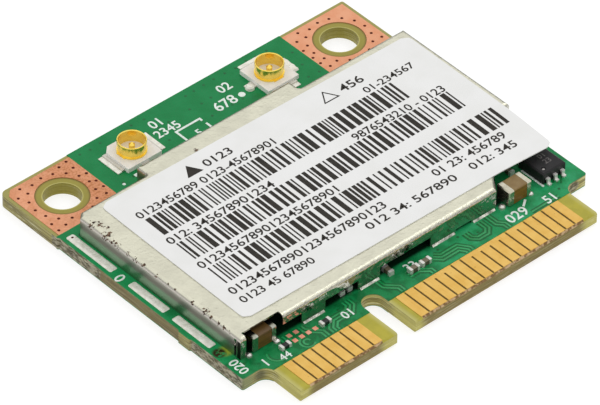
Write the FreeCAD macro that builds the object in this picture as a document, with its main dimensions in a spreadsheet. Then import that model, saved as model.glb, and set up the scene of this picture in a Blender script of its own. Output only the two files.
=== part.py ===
import FreeCAD
import Part
import math
import os
import re
import Sketcher

# Half-size wireless card. The origin is the middle of the board, on its underside.
# +X runs along the contact edge, +Y towards the screw holes, +Z out of the component side.
# A setback is measured from the contact edge unless its name gives another edge.

SIZES = {
    # Board outline
    "board_width": 30.0,
    "board_length": 26.8,
    "laminate_thickness": 0.92,
    "mask_thickness": 0.04,
    "copper_thickness": 0.035,
    "shoulder_setback": 3.2,
    "shoulder_fillet": 0.8,
    "rounded_corner": 0.5,
    "eased_corner": 0.15,
    "contact_edge_bevel": 0.1,
    "edge_relief": 0.1,
    "relief_end_setback": 21.0,
    "nub_setback": 8.7,
    "nub_length": 1.0,
    # Key notch and contacts
    "key_offset": -3.9,
    "key_width": 1.6,
    "key_depth": 3.9,
    "contact_pitch": 0.8,
    "contact_width": 0.66,
    "contact_length": 2.42,
    "contact_edge_gap": 0.13,
    "contact_mask_gap": 0.03,
    "short_row_to_key": 2.3,
    "long_row_to_key": 1.7,
    "tongue_margin": 0.72,
    # Screw holes and their ground pads
    "hole_diameter": 2.6,
    "hole_inset": 2.9,
    "bare_ring_width": 0.525,
    "pad_reach": 2.8,
    "pad_edge_gap": 0.25,
    # Folded shield
    "shield_left_inset": 1.15,
    "shield_right_inset": 0.33,
    "shield_setback": 4.58,
    "shield_back_inset": 6.33,
    "shield_height": 1.7,
    "sheet_thickness": 0.15,
    "bend_radius": 0.3,
    "inside_corner": 0.25,
    "bump_start": 6.0,
    "bump_width": 13.2,
    "bump_depth": 0.97,
    "clipped_corner": 0.4,
    "cutout_width": 5.62,
    "cutout_depth": 5.67,
    "cutout_corner_width": 0.9,
    "cutout_corner_depth": 1.17,
    "slit_width": 0.2,
    "slit_start": 0.42,
    "slit_top_web": 0.25,
    "window_start": 0.45,
    "window_width": 3.1,
    "window_plate_cut": 0.49,
    "slot_a_start": 3.55,
    "slot_a_width": 1.6,
    "slot_a_height": 0.9,
    "slot_b_start": 7.15,
    "slot_b_width": 2.85,
    "slot_b_height": 0.82,
    "slot_c_start": 11.85,
    "slot_c_from_wall_end": 5.75,
    "slot_c_height": 0.85,
    "slot_d_from_wall_end": 3.55,
    "slot_d_width": 1.4,
    "slot_d_height": 0.25,
    # Solder along the shield
    "strip_gap": 0.25,
    "strip_width": 0.5,
    "strip_height": 0.08,
    "strip_corner": 0.2,
    "strip_a_start": 2.12,
    "strip_a_length": 3.6,
    "strip_b_start": 6.52,
    "strip_b_length": 3.45,
    "strip_c_start": 11.62,
    "strip_c_length": 4.4,
    "foot_solder_reach": 0.13,
    "foot_solder_rise": 0.1,
    "foot_solder_inset": 0.12,
    # Paper label
    "label_side_margin": 1.01,
    "label_end_margin": 0.845,
    "label_thickness": 0.08,
    "label_corner": 0.5,
    "label_shift_right": 0.54,
    "label_shift_back": 0.25,
    "label_turn": 0.7,
    # Antenna sockets
    "socket_spacing": 12.0,
    "socket_back_inset": 2.7,
    "socket_base_width": 2.88,
    "socket_base_depth": 2.66,
    "socket_base_height": 0.34,
    "socket_base_clip": 0.45,
    "socket_height": 1.25,
    "ring_diameter": 2.0,
    "ring_wall": 0.1,
    "ring_flange_width": 0.02,
    "ring_flange_height": 0.1,
    "ring_groove_depth": 0.05,
    "ring_groove_height": 0.42,
    "ring_lip_bevel": 0.03,
    "pin_diameter": 0.42,
    "pin_height": 0.6,
    "pin_tip_bevel": 0.12,
    "pin_skirt_width": 0.08,
    "pin_skirt_height": 0.08,
    "lug_width": 2.0,
    "lug_reach": 0.25,
    "lug_thickness": 0.15,
    "lug_post_width": 0.8,
    "tail_width": 0.6,
    "tail_reach": 0.3,
    "tail_thickness": 0.12,
    "socket_solder_reach": 0.35,
    "socket_solder_height": 0.07,
    # Power switch chip in the shield's cut-out
    "switch_from_shield_right": 1.62,
    "switch_behind_wall": 0.82,
    "switch_width": 2.0,
    "switch_depth": 2.3,
    "switch_height": 0.85,
    "switch_standoff": 0.05,
    "switch_edge_chamfer": 0.1,
    "switch_dot_diameter": 0.35,
    "switch_dot_depth": 0.03,
    "switch_dot_inset": 0.4,
    "lead_pitch": 0.65,
    "lead_width": 0.25,
    "lead_thickness": 0.12,
    "lead_exit_height": 0.35,
    "lead_shoulder": 0.1,
    "lead_reach": 0.38,
    # Bulk capacitors
    "bulk_length": 2.0,
    "bulk_width": 1.25,
    "bulk_height": 1.25,
    "bulk_end_length": 0.42,
    "bulk_edge_bevel": 0.08,
    "bulk_left_behind_wall": 0.57,
    "bulk_right_from_cutout": 0.8,
    "bulk_right_behind_wall": 0.1,
    "bulk_solder_reach": 0.25,
    "bulk_solder_rise": 0.55,
    "bulk_solder_inset": 0.25,
    # Small chip parts
    "plating_thickness": 0.02,
    "chip_length": 0.8,
    "chip_width": 0.4,
    "chip_end_length": 0.2,
    "resistor_height": 0.28,
    "capacitor_height": 0.36,
    # Their places, right of the shield's left wall and in front of or behind its front wall
    "front_row_gap": 0.94,
    "resistor_a_right": 2.9,
    "resistor_b_right": 6.3,
    "front_capacitor_a_right": 13.9,
    "front_capacitor_b_right": 14.92,
    "slot_capacitor_a_right": 8.9,
    "slot_capacitor_b_right": 9.55,
    "slot_capacitor_behind": 0.67,
    "gate_capacitor_right": 12.55,
    "gate_capacitor_behind": 0.02,
    "switch_capacitor_from_cutout": 2.15,
    "switch_capacitor_behind": 2.02,
    # Bare test pads in two rows
    "test_pad_size": 0.32,
    "test_pad_thickness": 0.02,
    "test_pad_pitch": 0.57,
    "test_pad_right": 3.8,
    "test_pad_gap": 0.31,
    # Parts under the shield
    "radio_size": 8.0,
    "radio_height": 0.85,
    "radio_edge_chamfer": 0.08,
    "radio_from_cutout": 11.84,
    "radio_front_of_middle": 0.4,
    "crystal_length": 3.2,
    "crystal_width": 2.5,
    "crystal_base_height": 0.45,
    "crystal_lid_height": 0.3,
    "crystal_lid_inset": 0.15,
    "crystal_lid_corner": 0.3,
    "crystal_gap": 1.2,
    "amplifier_size": 3.0,
    "amplifier_height": 0.75,
    "amplifier_gap": 1.5,
    "filter_length": 2.0,
    "filter_width": 1.25,
    "filter_height": 0.7,
    "filter_gap": 0.8,
    "inductor_length": 2.5,
    "inductor_width": 2.0,
    "inductor_height": 1.0,
    "inductor_corner": 0.25,
    "inductor_gap": 1.0,
    "supply_pitch": 2.0,
    "supply_gap": 0.5,
}

SHORT_ROW = 8
LONG_ROW = 18
LEADS_PER_SIDE = 3
SUPPLY_CAPACITORS = 4
TEST_PAD_ROWS = (2, 4)

# Places worked out from the sizes
BOARD_TOP = "(laminate_thickness + 2 * mask_thickness)"
LEFT = "(-board_width / 2)"
RIGHT = "(board_width / 2)"
FRONT = "(-board_length / 2)"
BACK = "(board_length / 2)"
SHOULDER = f"({FRONT} + shoulder_setback)"
NUB_FRONT = f"({FRONT} + nub_setback - nub_length / 2)"
NUB_BACK = f"({FRONT} + nub_setback + nub_length / 2)"
RELIEF_END = f"({FRONT} + relief_end_setback)"
SHORT_FIRST = f"(key_offset - short_row_to_key - {SHORT_ROW - 1} * contact_pitch)"
LONG_FIRST = "(key_offset + long_row_to_key)"
TONGUE_LEFT = f"({SHORT_FIRST} - contact_width / 2 - tongue_margin)"
TONGUE_RIGHT = f"({LONG_FIRST} + {LONG_ROW - 0.5} * contact_pitch + contact_width / 2 + tongue_margin)"
LEFT_SHOULDER_ROOM = f"({TONGUE_LEFT} - {LEFT} - edge_relief - 2 * eased_corner)"
RIGHT_SHOULDER_ROOM = f"({RIGHT} - {TONGUE_RIGHT} - 2 * eased_corner)"
SHOULDER_FILLET = f"min(shoulder_fillet; {LEFT_SHOULDER_ROOM}; {RIGHT_SHOULDER_ROOM})"
MASK_FRONT = f"({FRONT} + contact_edge_gap + contact_length + contact_mask_gap)"
HOLE_X = "(board_width / 2 - hole_inset)"
HOLE_Y = f"({BACK} - hole_inset)"
PAD_SPAN = "(pad_reach + hole_inset - pad_edge_gap)"
SHIELD_LEFT = f"({LEFT} + shield_left_inset)"
SHIELD_RIGHT = f"({RIGHT} - shield_right_inset)"
SHIELD_FRONT = f"({FRONT} + shield_setback)"
SHIELD_BACK = f"({BACK} - shield_back_inset)"
SHIELD_TOP = f"({BOARD_TOP} + shield_height)"
SHIELD_MIDDLE_X = f"(({SHIELD_LEFT} + {SHIELD_RIGHT}) / 2)"
SHIELD_MIDDLE_Y = f"(({SHIELD_FRONT} + {SHIELD_BACK}) / 2)"
CUTOUT_LEFT = f"({SHIELD_RIGHT} - cutout_width)"
FRONT_WALL_END = f"({CUTOUT_LEFT} - cutout_corner_width)"
SLOT_D_LEFT = f"({FRONT_WALL_END} - slot_d_from_wall_end)"
SLOTS = (
    (f"({SHIELD_LEFT} + slot_a_start)", f"({SHIELD_LEFT} + slot_a_start + slot_a_width)", "slot_a_height"),
    (f"({SHIELD_LEFT} + slot_b_start)", f"({SHIELD_LEFT} + slot_b_start + slot_b_width)", "slot_b_height"),
    (f"({SHIELD_LEFT} + slot_c_start)", f"({FRONT_WALL_END} - slot_c_from_wall_end)", "slot_c_height"),
    (SLOT_D_LEFT, f"({SLOT_D_LEFT} + slot_d_width)", "slot_d_height"),
)
LABEL_HALF_WIDTH = f"(({SHIELD_RIGHT} - {SHIELD_LEFT}) / 2 - label_side_margin)"
LABEL_HALF_DEPTH = f"(({SHIELD_BACK} - {SHIELD_FRONT}) / 2 - label_end_margin)"
RING_RADIUS = "(ring_diameter / 2)"
FRONT_ROW = f"({SHIELD_FRONT} - front_row_gap)"
RADIO_X = f"({CUTOUT_LEFT} - radio_from_cutout)"
RADIO_Y = f"({SHIELD_MIDDLE_Y} - radio_front_of_middle)"

doc = FreeCAD.newDocument("wifi_card")
sheet = doc.addObject("Spreadsheet::Sheet", "sizes")
for row, (alias, value) in enumerate(SIZES.items(), start=1):
    sheet.set(f"A{row}", alias)
    sheet.set(f"B{row}", str(value))
    sheet.setAlias(f"B{row}", alias)
doc.recompute()

nodes = []
SAME_LENGTH = 1e-5


def formula(text):
    """Points every size named in the text at its cell."""
    return re.sub(r"[a-z][a-z0-9_]*", lambda word: f"sizes.{word[0]}" if word[0] in SIZES else word[0], text)


def bind(item, formulas):
    """Ties properties of an object to formulas."""
    for path, text in formulas.items():
        item.setExpression(path, formula(text))
    return item


def place(item, x, y, z):
    """Ties an object's place to formulas."""
    return bind(item, {"Placement.Base.x": x, "Placement.Base.y": y, "Placement.Base.z": z})


def turn(item, degrees):
    """Turns an object clockwise, seen from above, about its own origin."""
    down = FreeCAD.Vector(0, 0, -1)
    item.Placement = FreeCAD.Placement(FreeCAD.Vector(), FreeCAD.Rotation(down, degrees))
    return item


def keep(item, label):
    """Names a finished sub-part."""
    item.Label = label
    nodes.append(item)
    return item


def block(name, low, size):
    """A box from its low corner and its three sides."""
    item = doc.addObject("Part::Box", name)
    bind(item, dict(zip(("Length", "Width", "Height"), size)))
    return place(item, *low)


def block_on(name, x, y, bottom, size):
    """A box centred over a point, standing on a level."""
    return block(name, (f"{x} - ({size[0]}) / 2", f"{y} - ({size[1]}) / 2", bottom), size)


def group(label, items):
    """Separate like solids that share one sub-part."""
    item = doc.addObject("Part::Compound", label)
    item.Links = items
    return keep(item, label)


def cut(label, base, tool):
    """Takes one solid out of another."""
    item = doc.addObject("Part::Cut", label)
    item.Base = base
    item.Tool = tool
    return item


def new_body(label):
    """An empty body for a piece that is padded, cut and rounded."""
    return doc.addObject("PartDesign::Body", label)


def sketch(body, plane, raised="0"):
    """An empty sketch on one of the body's own planes, raised along the plane's normal."""
    item = body.newObject("Sketcher::SketchObject", f"{body.Name}_profile")
    item.AttachmentSupport = [(part, "") for part in body.Origin.OriginFeatures if part.Role == plane]
    item.MapMode = "FlatFace"
    return bind(item, {"AttachmentOffset.Base.z": raised})


def hold(profile, index, point, x, y):
    """Holds one point of a sketch at two distances from the sketch's origin."""
    for kind, text in (("DistanceX", x), ("DistanceY", y)):
        number = profile.addConstraint(Sketcher.Constraint(kind, -1, 1, index, point, 1.0))
        bind(profile, {f"Constraints[{number}]": text})


def polygon(profile, corners):
    """A closed run of straight lines through corners given as formulas."""
    count = len(corners)
    first = profile.GeometryCount
    ring = [2 * math.pi * step / count for step in range(count)]
    start = [FreeCAD.Vector(math.cos(angle), math.sin(angle), 0) for angle in ring]
    for step in range(count):
        profile.addGeometry(Part.LineSegment(start[step], start[(step + 1) % count]))
    for step in range(count):
        following = first + (step + 1) % count
        profile.addConstraint(Sketcher.Constraint("Coincident", first + step, 2, following, 1))
    for step, (x, y) in enumerate(corners):
        hold(profile, first + step, 1, x, y)
    return profile


def rectangle(profile, left, front, right, back):
    """A rectangle between four formulas."""
    return polygon(profile, [(left, front), (right, front), (right, back), (left, back)])


def circle(profile, x, y, diameter):
    """A circle about a point."""
    up = FreeCAD.Vector(0, 0, 1)
    index = profile.addGeometry(Part.Circle(FreeCAD.Vector(), up, 1.0))
    hold(profile, index, 3, x, y)
    number = profile.addConstraint(Sketcher.Constraint("Radius", index, 1.0))
    bind(profile, {f"Constraints[{number}]": f"({diameter}) / 2"})
    return profile


def pad(body, profile, length):
    """Raises a sketch along its normal."""
    item = body.newObject("PartDesign::Pad", f"{body.Name}_pad")
    item.Profile = profile
    bind(item, {"Length": length})
    doc.recompute()
    return item


def pocket(body, profile, depth):
    """Cuts a sketch into the body, against its normal, and makes sure that it met the solid."""
    before = body.Shape.Volume
    item = body.newObject("PartDesign::Pocket", f"{body.Name}_pocket")
    item.Profile = profile
    bind(item, {"Length": depth})
    doc.recompute()
    if body.Shape.Volume >= before:
        raise RuntimeError(f"a pocket of {body.Name} cuts nothing")
    return item


def revolve(body, profile):
    """Turns a sketch a full circle about its own upright axis."""
    item = body.newObject("PartDesign::Revolution", f"{body.Name}_turned")
    item.Profile = profile
    item.ReferenceAxis = (profile, ["V_Axis"])
    item.Angle = 360
    doc.recompute()
    return item


def ease(body, kind, edges, size):
    """Rounds or bevels named edges of the body's last feature."""
    base = body.Tip
    item = body.newObject(f"PartDesign::{kind}", f"{body.Name}_{kind.lower()}")
    item.Base = (base, edges)
    bind(item, {"Radius" if kind == "Fillet" else "Size": size})
    doc.recompute()
    return item


def edges_that(shape, test):
    """Names of the edges whose bounding box passes a test."""
    return [f"Edge{number}" for number, edge in enumerate(shape.Edges, start=1) if test(edge.BoundBox)]


def near(one, other):
    """Whether two lengths are the same."""
    return math.isclose(one, other, abs_tol=SAME_LENGTH)


def corners_of(profile):
    """The corner points of a sketched polygon, in order."""
    return [line.StartPoint for line in profile.Geometry]


def upright_edges(shape, points):
    """Names of the upright edges that stand on the given points."""

    def stands(box):
        if near(box.ZLength, 0) or not near(box.XLength, 0) or not near(box.YLength, 0):
            return False
        return any(near(box.XMin, point.x) and near(box.YMin, point.y) for point in points)

    return edges_that(shape, stands)


def top_edges(shape):
    """Names of the edges that lie in the topmost plane."""
    return edges_that(shape, lambda box: near(box.ZMin, shape.BoundBox.ZMax))


def board_plate(label, bottom, thickness):
    """A layer with the board's outline: shoulders, tongue, key notch and depanelled left edge."""
    body = new_body(label)
    relieved = f"{LEFT} + edge_relief"
    outline = polygon(
        sketch(body, "XY_Plane", bottom),
        [
            (TONGUE_LEFT, FRONT),
            (TONGUE_RIGHT, FRONT),
            (TONGUE_RIGHT, SHOULDER),
            (RIGHT, SHOULDER),
            (RIGHT, BACK),
            (LEFT, BACK),
            (LEFT, RELIEF_END),
            (relieved, f"{RELIEF_END} - edge_relief"),
            (relieved, f"{NUB_BACK} + edge_relief"),
            (LEFT, NUB_BACK),
            (LEFT, NUB_FRONT),
            (relieved, f"{NUB_FRONT} - edge_relief"),
            (relieved, SHOULDER),
            (TONGUE_LEFT, SHOULDER),
        ],
    )
    pad(body, outline, thickness)
    corner = corners_of(outline)
    inside = [corner[2], corner[13]]
    rounded_back = [corner[5]]
    eased = [corner[3], corner[4], corner[12]]
    ease(body, "Fillet", upright_edges(body.Shape, inside), SHOULDER_FILLET)
    ease(body, "Fillet", upright_edges(body.Shape, rounded_back), "rounded_corner")
    ease(body, "Fillet", upright_edges(body.Shape, eased), "eased_corner")
    level = f"{bottom} + {thickness}"
    notch_end = f"{FRONT} + key_depth - key_width / 2"
    notch = rectangle(sketch(body, "XY_Plane", level), "key_offset - key_width / 2", f"{FRONT} - key_depth",
                      "key_offset + key_width / 2", notch_end)
    pocket(body, notch, thickness)
    pocket(body, circle(sketch(body, "XY_Plane", level), "key_offset", notch_end, "key_width"), thickness)
    return body


def build_board():
    """The laminate with its screw holes and bevelled contact edge."""
    body = board_plate("circuit_board", "mask_thickness", "laminate_thickness")
    holes = sketch(body, "XY_Plane", "mask_thickness + laminate_thickness")
    for side in ("-", ""):
        circle(holes, f"{side}{HOLE_X}", HOLE_Y, "hole_diameter")
    pocket(body, holes, "laminate_thickness")
    front = body.Shape.BoundBox.YMin
    lip = edges_that(body.Shape, lambda box: near(box.YMax, front) and near(box.ZLength, 0))
    ease(body, "Chamfer", lip, "contact_edge_bevel")
    keep(body, "circuit_board")


def build_mask(label, bottom):
    """The green solder mask on one side, open at the contacts and the ground pads."""
    body = board_plate(label, bottom, "mask_thickness")
    openings = sketch(body, "XY_Plane", f"{bottom} + mask_thickness")
    rectangle(openings, "-board_width", "-board_length", "board_width", MASK_FRONT)
    pad_edge = f"({HOLE_X} - pad_reach)"
    pad_front = f"{HOLE_Y} - pad_reach"
    rectangle(openings, "-board_width", pad_front, f"-{pad_edge}", "board_length")
    rectangle(openings, pad_edge, pad_front, "board_width", "board_length")
    pocket(body, openings, "mask_thickness")
    keep(body, label)


def build_contacts(label, bottom, stagger):
    """The two rows of gold contacts on one side of the tongue."""
    size = ("contact_width", "contact_length", "copper_thickness")
    middle = f"{FRONT} + contact_edge_gap + contact_length / 2"
    contacts = []
    for row_first, count in ((SHORT_FIRST, SHORT_ROW), (LONG_FIRST, LONG_ROW)):
        for step in range(count):
            x = f"({row_first} + {step + stagger} * contact_pitch)"
            contacts.append(block_on(f"{label}_contact", x, middle, bottom, size))
    group(label, contacts)


def build_ground_pads(label, bottom):
    """The copper squares round the two screw holes, each with a bare ring."""
    pads = []
    for side in (-1, 1):
        low_x = f"{LEFT} + pad_edge_gap" if side < 0 else f"{HOLE_X} - pad_reach"
        plate = block(f"{label}_plate", (low_x, f"{HOLE_Y} - pad_reach", bottom),
                      (PAD_SPAN, PAD_SPAN, "copper_thickness"))
        ring = doc.addObject("Part::Cylinder", f"{label}_ring")
        bind(ring, {"Radius": "hole_diameter / 2 + bare_ring_width", "Height": "copper_thickness"})
        place(ring, f"{side} * {HOLE_X}", HOLE_Y, bottom)
        pads.append(cut(f"{label}_pad", plate, ring))
    group(label, pads)


def build_shield():
    """The folded shield: one sheet with bent walls, a stepped back, a cut-out and an open front wall."""
    body = new_body("shield_can")
    bump_left = f"({SHIELD_LEFT} + bump_start)"
    bump_right = f"({SHIELD_LEFT} + bump_start + bump_width)"
    bump_back = f"({SHIELD_BACK} + bump_depth)"
    cutout_back = f"({SHIELD_FRONT} + cutout_depth)"
    outline = polygon(
        sketch(body, "XY_Plane", BOARD_TOP),
        [
            (SHIELD_LEFT, SHIELD_FRONT),
            (FRONT_WALL_END, SHIELD_FRONT),
            (CUTOUT_LEFT, f"{SHIELD_FRONT} + cutout_corner_depth"),
            (CUTOUT_LEFT, cutout_back),
            (SHIELD_RIGHT, cutout_back),
            (SHIELD_RIGHT, SHIELD_BACK),
            (bump_right, SHIELD_BACK),
            (bump_right, bump_back),
            (bump_left, bump_back),
            (bump_left, SHIELD_BACK),
            (f"{SHIELD_LEFT} + clipped_corner", SHIELD_BACK),
            (SHIELD_LEFT, f"{SHIELD_BACK} - clipped_corner"),
        ],
    )
    pad(body, outline, "shield_height")
    corner = corners_of(outline)
    inside = [corner[3], corner[6], corner[9]]
    ease(body, "Fillet", upright_edges(body.Shape, inside), "inside_corner")
    ease(body, "Fillet", top_edges(body.Shape), "bend_radius")
    floor = body.Shape.BoundBox.ZMin
    open_side = [f"Face{number}" for number, face in enumerate(body.Shape.Faces, start=1)
                 if near(face.BoundBox.ZMax, floor)]
    base = body.Tip
    shell = body.newObject("PartDesign::Thickness", "shield_can_sheet")
    shell.Base = (base, open_side)
    shell.Reversed = True
    bind(shell, {"Value": "sheet_thickness"})
    doc.recompute()
    open_shield_front(body)
    open_shield_corner(body)
    keep(body, "shield_can")


def open_shield_front(body):
    """Cuts the tall window and the low slots that leave the front wall standing on feet."""
    wall = f"-{SHIELD_FRONT} + bend_radius"
    window_left = f"({SHIELD_LEFT} + window_start)"
    window = rectangle(sketch(body, "XZ_Plane", wall), window_left, f"{BOARD_TOP} - sheet_thickness",
                       f"{window_left} + window_width", f"{SHIELD_TOP} + sheet_thickness")
    pocket(body, window, "bend_radius + window_plate_cut")
    slots = sketch(body, "XZ_Plane", wall)
    for left, right, height in SLOTS:
        rectangle(slots, left, f"{BOARD_TOP} - sheet_thickness", right, f"{BOARD_TOP} + {height}")
    pocket(body, slots, "bend_radius + 2 * sheet_thickness")


def open_shield_corner(body):
    """Cuts the narrow relief between the left wall and the front corner post."""
    slit_front = f"({SHIELD_FRONT} + slit_start)"
    profile = sketch(body, "YZ_Plane", f"{SHIELD_LEFT} + 2 * sheet_thickness")
    slit = rectangle(profile, slit_front, f"{BOARD_TOP} - sheet_thickness", f"{slit_front} + slit_width",
                     f"{SHIELD_TOP} - slit_top_web")
    pocket(body, slit, "3 * sheet_thickness")


def build_shield_solder():
    """Tinned strips beside the left wall, and fillets at the feet of the front wall."""
    strips = []
    for name in ("strip_a", "strip_b", "strip_c"):
        body = new_body(f"{name}_solder")
        front = f"({SHIELD_FRONT} + {name}_start)"
        near_wall = f"({SHIELD_LEFT} - strip_gap)"
        outline = rectangle(sketch(body, "XY_Plane", BOARD_TOP), f"{near_wall} - strip_width", front,
                            near_wall, f"{front} + {name}_length")
        pad(body, outline, "strip_height")
        outer = [point for point in corners_of(outline) if near(point.x, body.Shape.BoundBox.XMin)]
        ease(body, "Fillet", upright_edges(body.Shape, outer), "strip_corner")
        strips.append(body)
    group("shield_solder_strips", strips)

    fillets = []
    foot_starts = [right for _, right, _ in SLOTS]
    foot_ends = [left for left, _, _ in SLOTS[1:]] + [FRONT_WALL_END]
    for start, end in zip(foot_starts, foot_ends):
        body = new_body("foot_solder")
        profile = polygon(
            sketch(body, "YZ_Plane", f"{start} + foot_solder_inset"),
            [
                (f"{SHIELD_FRONT} - foot_solder_reach", BOARD_TOP),
                (SHIELD_FRONT, BOARD_TOP),
                (SHIELD_FRONT, f"{BOARD_TOP} + foot_solder_rise"),
            ],
        )
        pad(body, profile, f"{end} - {start} - 2 * foot_solder_inset")
        fillets.append(body)
    group("shield_foot_solder", fillets)


def build_label():
    """The paper label on the shield, a little askew and hanging over the cut-out."""
    body = new_body("label")
    outline = rectangle(sketch(body, "XY_Plane"), f"-{LABEL_HALF_WIDTH}", f"-{LABEL_HALF_DEPTH}",
                        LABEL_HALF_WIDTH, LABEL_HALF_DEPTH)
    pad(body, outline, "label_thickness")
    ease(body, "Fillet", upright_edges(body.Shape, corners_of(outline)), "label_corner")
    bind(turn(body, 1), {"Placement.Rotation.Angle": "label_turn"})
    place(body, f"{SHIELD_MIDDLE_X} + label_shift_right", f"{SHIELD_MIDDLE_Y} + label_shift_back", SHIELD_TOP)
    keep(body, "label")


def socket_ring(name):
    """The plated outer contact: a ring with a snap groove, carried on two lugs through the housing."""
    body = new_body(f"antenna_ring_{name}")
    inner = f"({RING_RADIUS} - ring_wall)"
    flange_top = "(socket_base_height + ring_flange_height)"
    groove = f"({RING_RADIUS} - ring_groove_depth)"
    groove_top = f"({flange_top} + ring_groove_height)"
    wall = polygon(
        sketch(body, "XZ_Plane"),
        [
            (inner, "socket_base_height"),
            (f"{RING_RADIUS} + ring_flange_width", "socket_base_height"),
            (f"{RING_RADIUS} + ring_flange_width", flange_top),
            (groove, flange_top),
            (groove, groove_top),
            (RING_RADIUS, f"{groove_top} + ring_groove_depth"),
            (RING_RADIUS, "socket_height"),
            (inner, "socket_height"),
        ],
    )
    revolve(body, wall)
    ease(body, "Chamfer", top_edges(body.Shape), "ring_lip_bevel")
    posts = sketch(body, "XY_Plane")
    lugs = sketch(body, "XY_Plane")
    for side in ("-", ""):
        near_x = f"{side}({inner} + ring_wall / 4)"
        outer_x = f"{side}({RING_RADIUS} + ring_flange_width / 2)"
        tip_x = f"{side}(socket_base_width / 2 + lug_reach)"
        rectangle(posts, near_x, "-lug_post_width / 2", outer_x, "lug_post_width / 2")
        rectangle(lugs, near_x, "-lug_width / 2", tip_x, "lug_width / 2")
    pad(body, posts, "socket_base_height + ring_flange_height / 2")
    pad(body, lugs, "lug_thickness")
    return body


def socket_pin(name):
    """The centre contact: a bevel-tipped pin with a skirt, and its tail under the housing."""
    body = new_body(f"antenna_pin_{name}")
    radius = "(pin_diameter / 2)"
    top = "(socket_base_height + pin_height)"
    post = polygon(
        sketch(body, "XZ_Plane"),
        [
            ("0", "0"),
            (radius, "0"),
            (radius, "socket_base_height"),
            (f"{radius} + pin_skirt_width", "socket_base_height"),
            (radius, "socket_base_height + pin_skirt_height"),
            (radius, top),
            ("0", top),
        ],
    )
    revolve(body, post)
    ease(body, "Chamfer", top_edges(body.Shape), "pin_tip_bevel")
    tail = rectangle(sketch(body, "XY_Plane"), "-tail_width / 2", "-socket_base_depth / 2 - tail_reach",
                     "tail_width / 2", "0")
    pad(body, tail, "tail_thickness")
    return body


def socket_base(name):
    """The white moulded base with one clipped corner, before the contacts are let into it."""
    body = new_body(f"antenna_base_{name}")
    side = "(socket_base_width / 2)"
    end = "(socket_base_depth / 2)"
    outline = polygon(
        sketch(body, "XY_Plane"),
        [
            (f"-{side}", f"-{end}"),
            (side, f"-{end}"),
            (side, end),
            (f"-{side} + socket_base_clip", end),
            (f"-{side}", f"{end} - socket_base_clip"),
        ],
    )
    pad(body, outline, "socket_base_height")
    return body


def socket_solder(name):
    """The solder in front of the two lugs and the tail."""
    body = new_body(f"antenna_solder_{name}")
    outline = sketch(body, "XY_Plane")
    for side in ("-", ""):
        inner = f"{side}(socket_base_width / 2 + lug_reach)"
        outer = f"{side}(socket_base_width / 2 + lug_reach + socket_solder_reach)"
        rectangle(outline, inner, "-lug_width / 2", outer, "lug_width / 2")
    tail_tip = "(socket_base_depth / 2 + tail_reach)"
    rectangle(outline, "-tail_width / 2", f"-{tail_tip} - socket_solder_reach", "tail_width / 2",
              f"-{tail_tip}")
    body.AllowCompound = True
    pad(body, outline, "socket_solder_height")
    return body


def build_sockets():
    """Two like antenna sockets, the right one turned a quarter turn clockwise."""
    solder = []
    for name, side, angle in (("left", "-", 0), ("right", "", 90)):
        ring = socket_ring(name)
        pin = socket_pin(name)
        base = socket_base(name)
        joints = socket_solder(name)
        for piece in (ring, pin, base, joints):
            place(turn(piece, angle), f"{side}socket_spacing / 2", f"{BACK} - socket_back_inset", BOARD_TOP)
        doc.recompute()
        keep(ring, f"antenna_ring_{name}")
        keep(pin, f"antenna_pin_{name}")
        bored = cut(f"antenna_base_{name}_bored", base, ring)
        keep(cut(f"antenna_housing_{name}", bored, pin), f"antenna_housing_{name}")
        solder.append(joints)
    group("antenna_solder", solder)


def build_switch():
    """The moulded power switch chip and its formed leads."""
    x = f"({SHIELD_RIGHT} - switch_from_shield_right)"
    y = f"({SHIELD_FRONT} + switch_behind_wall)"
    body = new_body("switch_chip")
    half_width = "(switch_width / 2)"
    half_depth = "(switch_depth / 2)"
    outline = rectangle(sketch(body, "XY_Plane", "switch_standoff"), f"-{half_width}", f"-{half_depth}",
                        half_width, half_depth)
    pad(body, outline, "switch_height")
    ease(body, "Chamfer", top_edges(body.Shape), "switch_edge_chamfer")
    top = sketch(body, "XY_Plane", "switch_standoff + switch_height")
    dot = circle(top, f"-{half_width} + switch_dot_inset", f"-{half_depth} + switch_dot_inset",
                 "switch_dot_diameter")
    pocket(body, dot, "switch_dot_depth")
    place(body, x, y, BOARD_TOP)
    keep(body, "switch_chip")

    leads = []
    bend = "(lead_shoulder + lead_thickness)"
    for side, angle in ((-1, 0), (1, 180)):
        for step in range(LEADS_PER_SIDE):
            lead = new_body("switch_lead")
            profile = polygon(
                sketch(lead, "YZ_Plane", "-lead_width / 2"),
                [
                    ("0", "lead_exit_height"),
                    ("0", "lead_exit_height + lead_thickness"),
                    (f"-{bend}", "lead_exit_height + lead_thickness"),
                    (f"-{bend}", "lead_thickness"),
                    ("-lead_reach", "lead_thickness"),
                    ("-lead_reach", "0"),
                    ("-lead_shoulder", "0"),
                    ("-lead_shoulder", "lead_exit_height"),
                ],
            )
            pad(lead, profile, "lead_width")
            offset = step - (LEADS_PER_SIDE - 1) / 2
            along = f"{x} + {offset} * lead_pitch"
            place(turn(lead, angle), along, f"{y} + {side} * {half_depth}", BOARD_TOP)
            leads.append(lead)
    group("switch_leads", leads)


def bevelled(name, base, size, is_bevelled):
    """Bevels the edges of a block whose bounding boxes pass a test."""
    doc.recompute()
    item = doc.addObject("Part::Chamfer", name)
    item.Base = base
    edges = enumerate(base.Shape.Edges, start=1)
    item.Edges = [(number, size, size) for number, edge in edges if is_bevelled(edge.BoundBox)]
    doc.recompute()
    return item


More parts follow.
